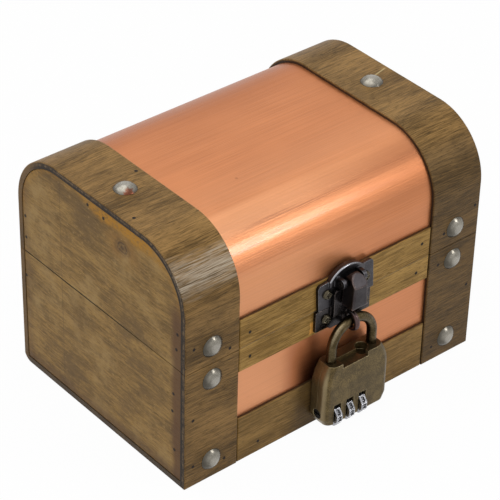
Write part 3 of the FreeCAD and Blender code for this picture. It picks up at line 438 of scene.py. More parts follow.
@dataclass(frozen=True)
class BandWood(StainedWood):
    """Bent plywood band with its edges, a painted sheen on its front bend, painted shade on its front and a
    scratch on the right one.
    """

    # Share of painted shade on the right band's front.
    shade: float = 0.36
    scratch_at: tuple[float, float] = (66.5, 2.8)
    scratch_slope: float = 0.23

    def marks(self, web: Web, colour: Wire) -> Wire:
        """Colour with the edges, the painted sheen on the bend, the painted shade on the front, the scratch
        and the pale cut faces, which are partly painted light.
        """
        x, y, z = web.axes(web.place())
        ragged = web.noise(web.stretch(web.place(8.0), (0.06, 0.5, 0.5)), detail=4.0, rough=0.6)
        # Painted shade: the band's front is darkened, far more on the right band than on the left.
        front_shade = (0.1 + x.rise(0.0, 1.0) * self.shade) * y.rise(-40.0, -50.0)
        colour = web.tint(front_shade, colour, Tint.FRONT_PAINTED_SHADE)
        height = z + (ragged - 0.5) * 9.0
        lines = web.noise(web.stretch(web.place(9.0), (0.09, 2.2, 2.2)), detail=4.0, rough=0.65)
        # Painted sheen: a grey highlight is painted on the front bend, broken by grain lines.
        bend = height.rise(87.0, 93.5) * height.rise(102.5, 97.0)
        bend = bend * y.rise(-36.0, -42.0) * x.rise(10.0, -10.0)
        colour = web.tint(bend * lines.rise(0.34, 0.66) * 0.95, colour, Tint.BEND_PAINTED_SHEEN)
        start_x, start_y = self.scratch_at
        line = abs(y - start_y - (x - start_x) * self.scratch_slope).rise(0.5, 0.2)
        line = line * x.rise(start_x - 0.5, start_x + 0.5) * x.rise(HALF_WIDTH - 1.0, HALF_WIDTH - 2.5)
        colour = web.tint(line * z.rise(104.0, 105.0) * 0.75, colour, Tint.SCRATCH)
        depth = ARCH.depth(web, y, z)
        colour = self.layered(web, colour, x, depth)
        stained = abs(x).rise(HALF_WIDTH - 1.4, HALF_WIDTH - 0.8).most(depth.rise(1.7, 0.9))
        return web.tint(stained, self.sawn_and_lit(web, colour, z), colour)

    def layered(self, web: Web, colour: Wire, x: Wire, depth: Wire) -> Wire:
        """Colour with the brown ply edge of a band and the painted shade on its inner side, beside the
        copper.

        Args:
            web: Node tree to add to.
            colour: Colour of the face.
            x: Coordinate along the front.
            depth: Depth below the band's outer face.

        Returns:
            The colour with the edges.
        """
        ragged = web.noise(web.stretch(web.place(3.0), (0.4, 0.22, 0.22)), detail=4.0, rough=0.6)
        y = web.axes(web.place())[1]
        outer = abs(x).rise(HALF_WIDTH - 0.5, HALF_WIDTH - 0.2)
        outer = outer * (depth + (ragged - 0.5) * 0.8).rise(0.15, 0.6)
        colour = web.tint(outer * 0.65, colour, Tint.PLY_EDGE)
        fleck = web.noise(web.stretch(web.place(3.5), (0.8, 0.55, 0.55)), detail=4.0, rough=0.7)
        sooty = outer * (0.12 + 0.88 * y.rise(46.0, 34.0))
        colour = web.tint(sooty * (0.45 + 0.5 * fleck.rise(0.36, 0.6)), colour, Tint.SOOT)
        glue = abs(depth + (ragged - 0.5) * 0.5 - 1.3).rise(0.3, 0.12)
        colour = web.tint(sooty * glue * fleck.rise(0.62, 0.4) * 0.6, colour, Tint.GLUE_LINE)
        crack = (depth + (ragged - 0.5) * 2.2).rise(1.6, 2.3)
        colour = web.tint(sooty * crack * 0.9, colour, Tint.PLY_CRACK)
        # Painted shade: the band's inner side, in the step down to the copper, is darkened almost to black.
        inner = abs(x).rise(BAND_INSIDE + 0.3, BAND_INSIDE + 0.05)
        inner = inner * (depth + (ragged - 0.5) * 1.4).rise(0.3, 0.9)
        return web.tint(inner * 0.93, colour, Tint.INNER_SIDE_PAINTED_SHADE)


@dataclass(frozen=True)
class SlatWood(StainedWood):
    """Front or back slat with painted shade on its upper face; one is chipped and one carries a painted
    shadow of the padlock.
    """

    # Share of the painted shade on the upper face.
    top_shade_share: float = 0.86
    chip: bool = False
    chip_at: tuple[float, float] = (-12.2, 48.5)
    painted_shade: bool = False
    painted_shade_at: float = -13.0

    def marks(self, web: Web, colour: Wire) -> Wire:
        """Colour with the painted shade on the upper face, the chip, the painted padlock shadow and the
        pale cut face, which is partly painted light.
        """
        x, y, z = web.axes(web.place())
        ragged = web.noise(web.stretch(web.place(6.0), (0.3, 0.8, 0.5)), detail=4.0, rough=0.6)
        # Painted shade: the slat's upper face, against the copper, is darkened almost to black.
        up = web.axes(web.facing())[2].rise(0.35, 0.8) * (abs(y) + (ragged - 0.5) * 0.5).rise(52.1, 51.7)
        colour = web.tint(up * self.top_shade_share, colour, Tint.SLAT_TOP_PAINTED_SHADE)
        if self.chip:
            chip_x, chip_z = self.chip_at
            middle = abs(z - chip_z + (ragged - 0.5) * 1.5).rise(3.2, 2.2)
            chip = abs(x - chip_x - (z - chip_z) * 0.1 + (ragged - 0.5) * 2.4).rise(1.7, 1.2) * middle
            colour = web.tint(chip * 0.9, colour, Tint.CHIP)
        if self.painted_shade:
            # Painted shadow: the padlock's shadow is darkened onto the lower slat's front.
            padlock_shadow = abs(x - self.painted_shade_at + (ragged - 0.5) * 6.0).rise(12.0, 3.0) * y.rise(-51.0, -52.0)
            colour = web.tint(padlock_shadow * 0.6, colour, Tint.SLAT_PADLOCK_SHADOW)
        return self.sawn_and_lit(web, colour, z)


@dataclass(frozen=True)
class EndBoard(StainedWood):
    """End board with amber stain under the arch, brown rubs along its edges and a faint glue joint."""

    joint_at: float = 24.6

    def marks(self, web: Web, colour: Wire) -> Wire:
        """Colour with clouds, flecks, the stain, the rubs, the dark foot, the seam and the joint."""
        x, y, z = web.axes(web.place())
        depth = ARCH.depth(web, y, z)
        ragged = web.noise(web.stretch(web.place(5.0), 0.12), detail=4.0)
        cloud = web.noise(web.stretch(web.place(11.0), 0.05), detail=6.0, rough=0.68)
        colour = web.tint(cloud.rise(0.5, 0.7) * 0.75, colour, Tint.PALE_CLOUD)
        colour = web.tint(cloud.rise(0.5, 0.33) * 0.65, colour, Tint.DARK_CLOUD)
        fleck = web.noise(web.stretch(web.place(4.0), (0.5, 0.5, 0.9)), detail=4.0, rough=0.7)
        colour = web.tint(fleck.rise(0.56, 0.7) * 0.5, colour, Tint.PALE_FLECK)
        run = y.rise(16.0, -4.0) * y.rise(-44.0, -26.0)
        reach = depth + (ragged - 0.5) * 6.0 - run * 3.2
        rim = reach.rise(6.4, 2.8) * z.rise(70.0, 82.0) * (0.2 + 0.8 * fleck.rise(0.36, 0.56))
        colour = web.tint(rim * (0.36 + 0.64 * run), colour, Tint.AMBER_STAIN)
        front = (y + (ragged - 0.5) * 4.0).rise(-42.5, -46.5) * z.rise(92.0, 76.0)
        colour = web.tint(front * 0.85, colour, Tint.FRONT_RUB)
        back = (y + (ragged - 0.5) * 4.0).rise(43.5, 48.5)
        colour = web.tint(back * 0.35, colour, Tint.BACK_RUB)
        foot = (z + (ragged - 0.5) * 5.0).rise(10.0, 3.0)
        colour = web.tint(foot * 0.65, colour, Tint.DARK_FOOT)
        seam = abs(z - SEAM + (ragged - 0.5) * 0.3).rise(0.46, 0.22)
        seam = seam * (0.2 + 0.6 * y.rise(-46.0, -6.0))
        colour = web.tint(seam, colour, Tint.SEAM_LINE)
        joint = abs(y - self.joint_at).rise(0.3, 0.05)
        return web.tint(joint * self.left_face(x) * 0.4, colour, Tint.GLUE_JOINT)

    def left_face(self, x: Wire) -> Wire:
        """Mask of the chest's left face."""
        return x.rise(2.0 - HALF_WIDTH, 1.0 - HALF_WIDTH)


@dataclass(frozen=True)
class KnottyBoard(EndBoard):
    """Left lid board, which has a knot."""

    knot: tuple[float, float] = (-14.7, 92.5)

    def marks(self, web: Web, colour: Wire) -> Wire:
        """Colour with the board's marks and the knot's rings."""
        x, y, z = web.axes(web.place())
        ragged = web.noise(web.stretch(web.place(7.0), 0.3), detail=3.0)
        knot_y, knot_z = self.knot
        away_y = (y - knot_y) * 0.72
        away_z = z - knot_z
        far = web.math("SQRT", away_y * away_y + away_z * away_z) + (ragged - 0.5) * 2.6
        rings = web.math("SINE", far * 4.2) * 0.5 + 0.5
        left = self.left_face(x)
        colour = web.tint(far.rise(10.0, 3.0) * left * 0.65, colour, Tint.KNOT_HALO)
        colour = web.tint(far.rise(4.8, 1.4) * left * (0.5 + 0.5 * rings), colour, Tint.KNOT_RINGS)
        return super().marks(web, colour)


@dataclass(frozen=True)
class BareWood(Finish):
    """Unstained inside of the chest."""

    dark: Colour = (0.36, 0.23, 0.115)
    light: Colour = (0.52, 0.36, 0.2)

    def weave(self, web: Web) -> None:
        """Build the finish's nodes."""
        place = web.place(2.0)
        streak = web.noise(web.stretch(place, (1 / 30.0, 0.7, 0.7)), detail=4.0, rough=0.6)
        pores = web.noise(web.stretch(place, (1 / 6.0, 2.2, 2.2)), detail=2.0).rise(0.56, 0.72)
        colour = web.tint(streak.rise(0.3, 0.7), self.dark, self.light)
        colour = web.tint(pores * 0.3, colour, Tint.BARE_PORES)
        normal = web.bump(streak - pores * 0.4, 0.06, 0.3)
        web.surface(Base_Color=colour, Roughness=0.62 + pores * 0.1, Normal=normal)


@dataclass(frozen=True)
class BrushedCopper(Finish):
    """Copper sheet brushed along the front, with a painted highlight on its front bend and top, painted
    shade at the back, on the right of the bend and above the highlight, a painted padlock shadow and a
    scuff.
    """

    bright: Colour = (0.655, 0.25, 0.098)
    dull: Colour = (0.51, 0.18, 0.065)
    bend_top: Spot = (0.0, -0.423, 0.906)
    bend_middle: Spot = (0.0, -0.766, 0.643)
    speck_at: Spot = (-23.6, -18.5, 104.4)
    scuff_at: float = -41.6
    padlock_shadow_at: float = -11.0

    def weave(self, web: Web) -> None:
        """Build the finish's nodes."""
        place = web.place()
        wide = web.noise(web.stretch(place, (1 / 160.0, 0.8, 0.8)), detail=4.0, rough=0.65)
        hair = web.noise(web.stretch(place, (1 / 45.0, 3.2, 3.2)), detail=3.0, rough=0.6)
        cloud = web.noise(web.stretch(place, (0.018, 0.03, 0.03)), detail=3.0)
        nick = web.noise(web.stretch(place, (1 / 5.0, 1.4, 1.4)), detail=2.0).rise(0.72, 0.78)
        share = (wide - 0.5) * 0.5 + (hair - 0.5) * 0.9 + (cloud - 0.5) * 0.8 + 0.5
        colour = web.tint(share.rise(0.1, 0.9), self.dull, self.bright)
        colour = web.tint(nick * 0.3, colour, Tint.COPPER_NICK)
        x, y, z = web.axes(place)
        # Painted shade: the copper is darkened towards the back, where its top curves away.
        colour = web.tint(y.rise(10.0, 44.0) * 0.7, colour, Tint.BACK_PAINTED_SHADE)
        # Painted highlight: the upper bend, the lower front and the top are lightened towards pale copper.
        rub_and_highlight = web.along(web.facing(), self.bend_top).rise(0.945, 0.994)
        rub_and_highlight = rub_and_highlight * (0.3 + 0.7 * x.rise(60.0, -50.0))
        wear_and_highlight = y.rise(-49.0, -50.6) * x.rise(24.0, -34.0)
        sheen = y.rise(-5.0, -30.0) * z.rise(95.0, 99.0)
        painted_highlight = (rub_and_highlight * 0.5).most(wear_and_highlight * 0.36).most(sheen * 0.17)
        colour = web.tint(painted_highlight, colour, Tint.PAINTED_COPPER_HIGHLIGHT)
        # Painted shadow: the padlock's shadow on the copper below the lid, a dark core with an orange-brown
        # rim.
        low = y.rise(-48.0, -50.0) * (0.6 + 0.8 * hair)
        aside = abs(x - self.padlock_shadow_at + (cloud - 0.5) * 6.0)
        shadow_halo = z.rise(52.0, 40.0) * aside.rise(17.0, 9.0)
        colour = web.tint(shadow_halo * low * 0.45, colour, Tint.PADLOCK_SHADOW_HALO)
        padlock_shadow = z.rise(42.0, 23.0) * aside.rise(10.0, 3.0)
        colour = web.tint(padlock_shadow * low * 0.85, colour, Tint.PADLOCK_SHADOW)
        turned = web.along(web.facing(), self.bend_middle)
        highlight_band = (turned + (cloud - 0.5) * 0.06 + (wide - 0.5) * 0.04).rise(0.82, 0.98)
        # Painted shade: the bend's highlight band is darkened towards the right, so the highlight fades
        # there.
        colour = web.tint(highlight_band * x.rise(-15.0, 45.0) * 0.5, colour, Tint.BEND_RIGHT_PAINTED_SHADE)
        high = z.rise(93.0, 96.0)
        scuff = abs(y - self.scuff_at + (cloud - 0.5) * 6.0).rise(1.9, 0.3) * high
        scuff = scuff * hair.rise(0.46, 0.58) * x.rise(-50.0, -26.0) * x.rise(46.0, 12.0)
        # Painted shade: a soft dark band above the highlight on the right; the scuff lines and the speck
        # are marks on the copper.
        shade = abs(y - self.scuff_at).rise(2.8, 0.4) * high * x.rise(-20.0, 30.0)
        colour = web.tint((scuff * 0.5).most(shade * 0.33), colour, Tint.COPPER_SCUFF_AND_SHADE)
        speck = web.near(place, self.speck_at).rise(0.9, 0.3)
        colour = web.tint(speck * 0.4, colour, Tint.COPPER_SCUFF_AND_SHADE)
        gleam = highlight_band * x.rise(60.0, -40.0) * (0.62 + 0.76 * hair.rise(0.32, 0.68))
        rough = 0.38 + (wide - 0.5) * 0.14 + (cloud - 0.5) * 0.2 + nick * 0.1
        web.surface(
            Base_Color=colour,
            Metallic=0.8,
            Roughness=rough,
            Normal=web.bump(hair + wide * 0.5, 0.08),
            Specular_IOR_Level=0.3,
            Coat_Weight=0.1 + turned.rise(0.66, 0.76) * 0.14 + gleam * 0.52,
            Coat_Roughness=0.165,
        )


@dataclass(frozen=True)
class WornMetal(Finish):
    """Metal with mottled tarnish, scuffs and edges rubbed to another colour, to which some finishes add a
    painted highlight.
    """

    dark: Colour
    light: Colour
    rub_and_highlight: Colour
    speck: float = 0.5
    speck_size: float = 0.45
    gloss: float = 0.34
    edge: float = 0.45
    metal: float = 1.0
    relief: float = 0.03

    def weave(self, web: Web) -> None:
        """Build the finish's nodes."""
        place = web.place(1.3)
        cloud = web.noise(web.stretch(place, 0.22), detail=4.0, rough=0.6)
        grit = web.noise(web.stretch(place, 1 / self.speck_size), detail=3.0, rough=0.7)
        scuff = web.noise(web.stretch(place, (0.5, 2.4, 1.1)), detail=3.0).rise(0.6, 0.72)
        share = (cloud - 0.5) * 0.9 + (grit - 0.5) * (2.2 * self.speck) + 0.45
        colour = web.tint(share.rise(0.1, 0.9), self.dark, self.light)
        # The lighter colour goes on rubbed edges and, in the plate, case and shackle, on painted highlights
        # too.
        rub = (self.wear_and_highlight(web) * (0.55 + cloud)).least(1.0)
        colour = web.tint(rub, colour, self.rub_and_highlight)
        colour = self.marks(web, colour)
        rough = self.gloss + (grit - 0.5) * 0.3 + scuff * 0.08 - rub * 0.08
        normal = web.bump(grit * 0.7 + scuff * 0.3, self.relief, self.edge * 0.7)
        web.surface(Base_Color=colour, Metallic=self.metal, Roughness=rough, Normal=normal)

    def wear_and_highlight(self, web: Web) -> Wire:
        """Mask of the rubbed edges."""
        return web.edges(self.edge)

    def marks(self, web: Web, colour: Wire) -> Wire:
        """Colour with this finish's own marks; the plain one has none."""
        return colour


@dataclass(frozen=True)
class NailNickel(WornMetal):
    """Nickel of the dome nails, with painted shade on the lower left and at the rims and a painted
    highlight on the crowns; one of them is rusty at its lower edge.
    """

    painted_shade_side: Spot = (-0.75, 0.0, -0.66)
    rust_at: Spot = (-63.2, -4.2, 106.5)

    def marks(self, web: Web, colour: Wire) -> Wire:
        """Colour with the painted shade on the lower left side and at the rims, the painted highlight on
        the crowns and the rust patch.
        """
        place = web.place()
        _, y, z = web.axes(place)
        height = (z - ARCH.top).most(abs(y) - ARCH.half_depth)
        ragged = web.noise(web.stretch(place, 0.9), detail=4.0)
        # Painted shade on the lower left side of each dome.
        painted_shade = (web.along(web.facing(), self.painted_shade_side) + (ragged - 0.5) * 0.5).rise(-0.05, 0.55)
        colour = web.tint(painted_shade * 0.8, colour, Tint.NAIL_PAINTED_SHADE)
        # Painted shade where the dome meets the board.
        rim = (height + (ragged - 0.5) * 0.6).rise(1.5, 0.3)
        colour = web.tint(rim * 0.75, colour, Tint.NAIL_RIM_PAINTED_SHADE)
        # Painted highlight on the crown of each dome.
        crown = (height + (ragged - 0.5) * 0.8).rise(1.7, 2.2)
        colour = web.tint(crown * 0.35, colour, Tint.NAIL_CROWN_PAINTED_HIGHLIGHT)
        rust = (web.near(place, self.rust_at) + (ragged - 0.5) * 3.4).rise(2.7, 1.5)
        return web.tint(rust * 0.88, colour, Tint.RUST)


@dataclass(frozen=True)
class PlateMetal(WornMetal):
    """Dark metal of the lid plate, rubbed at its edges, with a painted highlight where its rim faces up and
    painted shade on its narrow sides.
    """

    rim_front: float = -55.0
    painted_highlight_side: Spot = (-0.3, -0.55, 0.78)

    def wear_and_highlight(self, web: Web) -> Wire:
        """Mask of the rubbed edges and of the painted highlight on the rounded upper side of the rim."""
        _, y, _ = web.axes(web.place())
        # Painted highlight on the rim's rounded upper side.
        up = web.along(web.facing(), self.painted_highlight_side).rise(0.62, 0.97)
        up = up * y.rise(self.rim_front - 0.4, self.rim_front)
        return (super().wear_and_highlight(web) * 0.6).most(up)

    def marks(self, web: Web, colour: Wire) -> Wire:
        """Colour with painted shade on the narrow sides of the plate."""
        # Painted shade on the plate's narrow sides.
        side = abs(web.axes(web.facing())[1]).rise(0.5, 0.15)
        return web.tint(side * 0.85, colour, Tint.PLATE_SIDE_PAINTED_SHADE)


@dataclass(frozen=True)
class FlapMetal(WornMetal):
    """Dark metal of the flap, with painted shade on the bevel of its top."""

    def marks(self, web: Web, colour: Wire) -> Wire:
        """Colour with the painted shade on the bevel."""
        # Painted shade on the upward-facing bevel.
        up = web.axes(web.facing())[2].rise(0.2, 0.45)
        return web.tint(up * 0.62, colour, Tint.FLAP_BEVEL_PAINTED_SHADE)


@dataclass(frozen=True)
class KeeperMetal(WornMetal):
    """Dark metal of the keeper, with a coppery rub on its ring alone."""

    ring_from: float = -57.5
    copper: Colour = (0.115, 0.066, 0.06)

    def marks(self, web: Web, colour: Wire) -> Wire:
        """Colour with the rub on the ring."""
        place = web.place()
        _, y, _ = web.axes(place)
        ragged = web.noise(web.stretch(place, 0.8), detail=3.0)
        rub = (y + (ragged - 0.5) * 2.0).rise(self.ring_from, self.ring_from - 3.0)
        return web.tint(rub * 0.6, colour, self.copper)


@dataclass(frozen=True)
class CaseBrass(WornMetal):
    """Antique brass of the padlock's case, whose two halves meet without a bright line."""

    joint_at: float = -57.4
    painted_highlight_side: Spot = (-0.82, -0.57, 0.1)

    def wear_and_highlight(self, web: Web) -> Wire:
        """Mask of the rubbed edges and of the painted highlight on the rounded left side, without the joint
        of the halves.
        """
        _, y, z = web.axes(web.place())
        # Painted highlight on the case's rounded left side, stronger near the top.
        turned = web.along(web.facing(), self.painted_highlight_side).rise(0.93, 0.998)
        edges = super().wear_and_highlight(web) * abs(y - self.joint_at).rise(0.35, 0.7)
        front = y.rise(self.joint_at + 1.0, self.joint_at - 1.0)
        return edges.most(turned * front * (0.06 + 0.4 * z.rise(14.0, 26.0)))

    def marks(self, web: Web, colour: Wire) -> Wire:
        """Colour with the paler front half of the narrow sides and the dark top."""
        across, _, up = web.axes(web.facing())
        y = web.axes(web.place())[1]
        front = 0.25 + 0.5 * y.rise(self.joint_at + 1.0, self.joint_at - 2.0)
        colour = web.tint(abs(across).rise(0.6, 0.98) * front, colour, Tint.CASE_SIDE)
        return web.tint(up.rise(0.6, 0.9) * 0.75, colour, Tint.CASE_TOP)


@dataclass(frozen=True)
class ShackleBrass(WornMetal):
    """Antique brass of the shackle, with a painted highlight along its upper left."""

    painted_highlight_side: Spot = (-0.66, -0.52, 0.54)

    def wear_and_highlight(self, web: Web) -> Wire:
        """Mask of the rubbed edges and of a painted highlight line along the upper left."""
        # Painted highlight along the upper left of the shackle.
        turned = web.along(web.facing(), self.painted_highlight_side).rise(0.9, 0.995)
        return super().wear_and_highlight(web).most(turned * 0.4)


@dataclass(frozen=True)
class PlainDark(Finish):
    """Dull dark finish of brads, digits and the reset plug."""

    base: Colour
    glint: Colour
    gloss: float = 0.55

    def weave(self, web: Web) -> None:
        """Build the finish's nodes."""
        grit = web.noise(web.stretch(web.place(0.7), 2.6), detail=3.0)
        colour = web.tint(grit.rise(0.42, 0.7), self.base, self.glint)
        rough = self.gloss + (grit - 0.5) * 0.3
        web.surface(Base_Color=colour, Roughness=rough, Normal=web.bump(grit, 0.02), Specular_IOR_Level=0.2)


END_WOOD: Settings = dict(
    dark=(0.14, 0.077, 0.018), light=(0.36, 0.21, 0.06), grain=Grain.ALONG_DEPTH,
    streak_width=0.9, streak_length=9.0,
)
BAND_WOOD: Settings = dict(
    dark=(0.08, 0.044, 0.012), light=(0.34, 0.195, 0.066), grain=Grain.ALONG_FRONT,
    streak_width=0.45, streak_length=11.0,
)
SLAT_WOOD: Settings = dict(dark=(0.17, 0.09, 0.016), light=(0.44, 0.262, 0.074), grain=Grain.ALONG_FRONT)
FOOT_WOOD: Settings = dict(dark=(0.125, 0.067, 0.013), light=(0.34, 0.2, 0.062), grain=Grain.ALONG_FRONT)
BARE_WOOD = BareWood("bare_inside_wood")
FLOOR_WOOD = StainedWood(
    "floor_panel", (0.05, 0.032, 0.018), (0.11, 0.07, 0.035), Grain.ALONG_FRONT, seed=9.0
)
COPPER = BrushedCopper("brushed_copper")
NICKEL = NailNickel(
    "nail_nickel", (0.17, 0.157, 0.13), (0.36, 0.335, 0.285), (0.36, 0.34, 0.3),
    speck=0.3, speck_size=0.7, gloss=0.25, edge=0.3,
)
PLATE_METAL = PlateMetal(
    "hasp_plate_metal", (0.036, 0.033, 0.037), (0.09, 0.085, 0.091), (0.3, 0.3, 0.32),
    speck=0.35, speck_size=0.5, gloss=0.32, edge=0.5, metal=0.85,
)
# The flap's wide edge radius gives its rounded edges a lighter band that is partly wear and partly painted
# highlight.
FLAP_METAL = FlapMetal(
    "hasp_flap_metal", (0.029, 0.025, 0.027), (0.068, 0.061, 0.063), (0.3, 0.22, 0.2),
    speck=0.25, speck_size=0.6, gloss=0.32, edge=1.3,
)
KEEPER_METAL = KeeperMetal(
    "hasp_keeper_metal", (0.026, 0.023, 0.024), (0.075, 0.068, 0.069), (0.16, 0.13, 0.12),
    speck=0.35, speck_size=0.5, gloss=0.28, edge=0.3,
)
SCREW_BRASS = WornMetal(
    "screw_brass", (0.024, 0.02, 0.014), (0.135, 0.112, 0.073), (0.4, 0.35, 0.25),
    speck=0.5, speck_size=0.4, gloss=0.32, edge=0.16,
)
HINGE_METAL = WornMetal(
    "hinge_bronze", (0.06, 0.048, 0.036), (0.15, 0.12, 0.085), (0.36, 0.25, 0.15),
    speck=0.45, speck_size=0.5, gloss=0.36, edge=0.35,
)
LOCK_BRASS = CaseBrass(
    "lock_antique_brass", (0.052, 0.034, 0.011), (0.178, 0.123, 0.045), (0.36, 0.285, 0.15),
    speck=0.75, speck_size=0.42, gloss=0.38, edge=0.5, metal=0.7,
)
SHACKLE_BRASS = ShackleBrass(
    "shackle_antique_brass", (0.036, 0.026, 0.011), (0.145, 0.108, 0.056), (0.4, 0.32, 0.2),
    speck=0.6, speck_size=0.42, gloss=0.3, edge=0.3,
)
WHEEL_PLATE = WornMetal(
    "wheel_plating", (0.14, 0.14, 0.15), (0.5, 0.5, 0.53), (0.78, 0.78, 0.8),
    speck=0.3, speck_size=0.5, gloss=0.24, edge=0.16,
)
PIN_STEEL = WornMetal(
    "pin_steel", (0.16, 0.15, 0.14), (0.4, 0.38, 0.36), (0.5, 0.48, 0.45),
    speck=0.4, speck_size=0.5, gloss=0.34, edge=0.2,
)
PLUG_BLACK = PlainDark("plug_black", (0.004, 0.004, 0.004), (0.012, 0.011, 0.01), gloss=0.45)
BRAD_DARK = PlainDark("brad_dark", (0.008, 0.005, 0.004), (0.03, 0.018, 0.011), gloss=0.6)
DIGIT_INK = PlainDark("digit_ink", (0.006, 0.006, 0.007), (0.015, 0.015, 0.017), gloss=0.5)


def dress(node: str, finish: Finish) -> None:
    """Give a node of the frame its finish through the object's own material slot.

    Args:
        node: Name of the node.
        finish: Finish to use.
    """
    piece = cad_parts[node]
    if not piece.material_slots:
        piece.data.materials.append(None)
    for slot in piece.material_slots:
        slot.link = "OBJECT"
        slot.material = finish.make()
    LOG.info("dressed %s with %s", node, finish.name)


def add_piece(name: str, shape: bmesh.types.BMesh, finish: Finish, body: str) -> None:
    """Turn a modelled shape into a piece that rides on a body.

    Args:
        name: Name of the piece.
        shape: Modelled shape in metres, which is freed.
        finish: Finish of the piece.
        body: Body that the piece moves with.
    """
    bmesh.ops.remove_doubles(shape, verts=shape.verts, dist=WELD_DISTANCE)
    bmesh.ops.recalc_face_normals(shape, faces=shape.faces)
    mesh = bpy.data.meshes.new(name)
    shape.to_mesh(mesh)
    shape.free()
    mesh.materials.append(finish.make())
    piece = bpy.data.objects.new(name, mesh)
    bpy.context.scene.collection.objects.link(piece)
    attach(piece, body)
    LOG.info("built %s: %d faces, rides on %s", name, len(mesh.polygons), body)


@dataclass
class Chest:
    """Wooden chest with its copper sheets and the small brads in its boards."""

    brad_radius: float = 0.9
    brad_taper: float = 0.8
    brad_sides: int = 10
    brad_proud: float = 0.03
    brad_sunk: float = 0.3
    band_seed: float = 6.0
    slat_seed: float = 14.0
    end_brads: tuple[tuple[float, float], ...] = (
        (48.1, 72.8), (48.0, 62.7), (49.0, 43.7), (6.6, 100.4), (-3.2, 99.6),
        (-47.5, 72.0), (-46.9, 64.7), (-45.2, 42.8), (-44.6, 34.2), (-45.9, 15.9),
    )
    front_brads: tuple[tuple[float, float], ...] = (
        (-71.0, 66.2), (-53.8, 58.8), (-71.2, 32.5), (-71.0, 9.7), (-55.6, 6.0),
        (72.5, 69.9), (56.1, 62.9), (54.2, 48.5), (71.6, 31.1), (54.2, 7.0),
    )
    slat_brads: tuple[tuple[float, float], ...] = (
        (-43.9, 61.4), (-43.6, 49.8), (-38.3, 5.2), (44.4, 63.0), (42.3, 49.8),
    )
    top_brads: tuple[tuple[float, float], ...] = ((-51.8, 6.8), (-71.3, -17.3))

    def build(self) -> None:
        """Drive the brads into the boards of the lid and of the base."""
        shapes = {"lid": bmesh.new(), "base": bmesh.new()}
        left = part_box("base_left_end")[0].x / MM
        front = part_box("base_front_left_band")[0].y / MM
        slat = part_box("base_front_upper_slat")[0].y / MM
        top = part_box("lid_left_band")[1].z / MM
        for y, z in self.end_brads:
            self.drive(shapes, (left, y, z), Side.LEFT_END)
        for x, z in self.front_brads:
            self.drive(shapes, (x, front, z), Side.FRONT)
        for x, z in self.slat_brads:
            self.drive(shapes, (x, slat, z), Side.FRONT)
        for x, y in self.top_brads:
            self.drive(shapes, (x, y, top), Side.TOP)
        for body, shape in shapes.items():
            add_piece(body + "_brads", shape, BRAD_DARK, body)

    def drive(self, shapes: dict[str, bmesh.types.BMesh], spot: Spot, side: Side) -> None:
        """Add one brad, a low round head let into the wood.

        Args:
            shapes: Shapes that gather the brads of each body.
            spot: Place on the board's face in millimetres.
            side: Face that the brad is driven into.
        """
        turn = {
            Side.LEFT_END: Matrix.Rotation(math.radians(-90), 4, "Y"),
            Side.FRONT: Matrix.Rotation(math.radians(90), 4, "X"),
            Side.TOP: Matrix.Identity(4),
        }[side]
        depth = (self.brad_proud + self.brad_sunk) * MM
        middle = Matrix.Translation((0, 0, (self.brad_proud - self.brad_sunk) / 2 * MM))
        bmesh.ops.create_cone(
            shapes["lid" if spot[2] > SEAM else "base"],
            cap_ends=True,
            segments=self.brad_sides,
            radius1=self.brad_radius * MM,
            radius2=self.brad_radius * self.brad_taper * MM,
            depth=depth,
            matrix=Matrix.Translation(Vector(spot) * MM) @ turn @ middle,
        )

    def dress(self) -> None:
        """Give every board, band, slat and sheet its finish."""
        dress("base_floor", FLOOR_WOOD)
        dress("base_left_end", EndBoard("base_left_board", seed=1.0, **END_WOOD))
        dress("base_right_end", EndBoard("base_right_board", seed=4.0, **END_WOOD))
        dress("lid_left_end", KnottyBoard("lid_left_board", seed=2.0, **END_WOOD))
        dress("lid_right_end", EndBoard("lid_right_board", seed=5.0, **END_WOOD))
        bands = [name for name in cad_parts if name.endswith("_band")]
        for seed, name in enumerate(sorted(bands)):
            dress(name, BandWood(name + "_wood", seed=self.band_seed + seed, **BAND_WOOD))
        slats = [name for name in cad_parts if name.endswith("_slat")]
        for seed, name in enumerate(sorted(slats)):
            # The upper slat gets the chip, and the lower one the painted shadow of the padlock.
            marks = {"chip": name == "base_front_upper_slat", "painted_shade": name == "base_front_lower_slat"}
            colours = FOOT_WOOD if "lower" in name else SLAT_WOOD
            dress(name, SlatWood(name + "_wood", seed=self.slat_seed + seed, **marks, **colours))
        for name in ("base_front_wall", "base_back_wall", "lid_shell"):
            dress(name, BARE_WOOD)
        for name in ("base_front_copper", "base_back_copper", "lid_copper"):
            dress(name, COPPER)


@dataclass
class Ironwork:
    """Nails, screws, hinges and hasp."""

    nails: tuple[str, ...] = ("base_dome_nails", "lid_dome_nails")
    screws: tuple[str, ...] = (
        "hasp_lid_screws", "hasp_base_screws", "hinge_lid_screws", "hinge_base_screws",
    )
    pins: tuple[str, ...] = ("hinge_left_pin", "hinge_right_pin")

    def dress(self) -> None:
        """Give every metal fitting its finish."""
        for names, finish in (
            (self.nails, NICKEL),
            (self.screws, SCREW_BRASS),
            (("hasp_lid_plate",), PLATE_METAL),
            (("hasp_flap",), FLAP_METAL),
            (("hasp_keeper", "hasp_pin"), KEEPER_METAL),
            (self.pins, PIN_STEEL),
        ):
            for name in names:
                dress(name, finish)
        for name in sorted(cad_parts):
            if name.endswith("_leaf"):
                dress(name, HINGE_METAL)


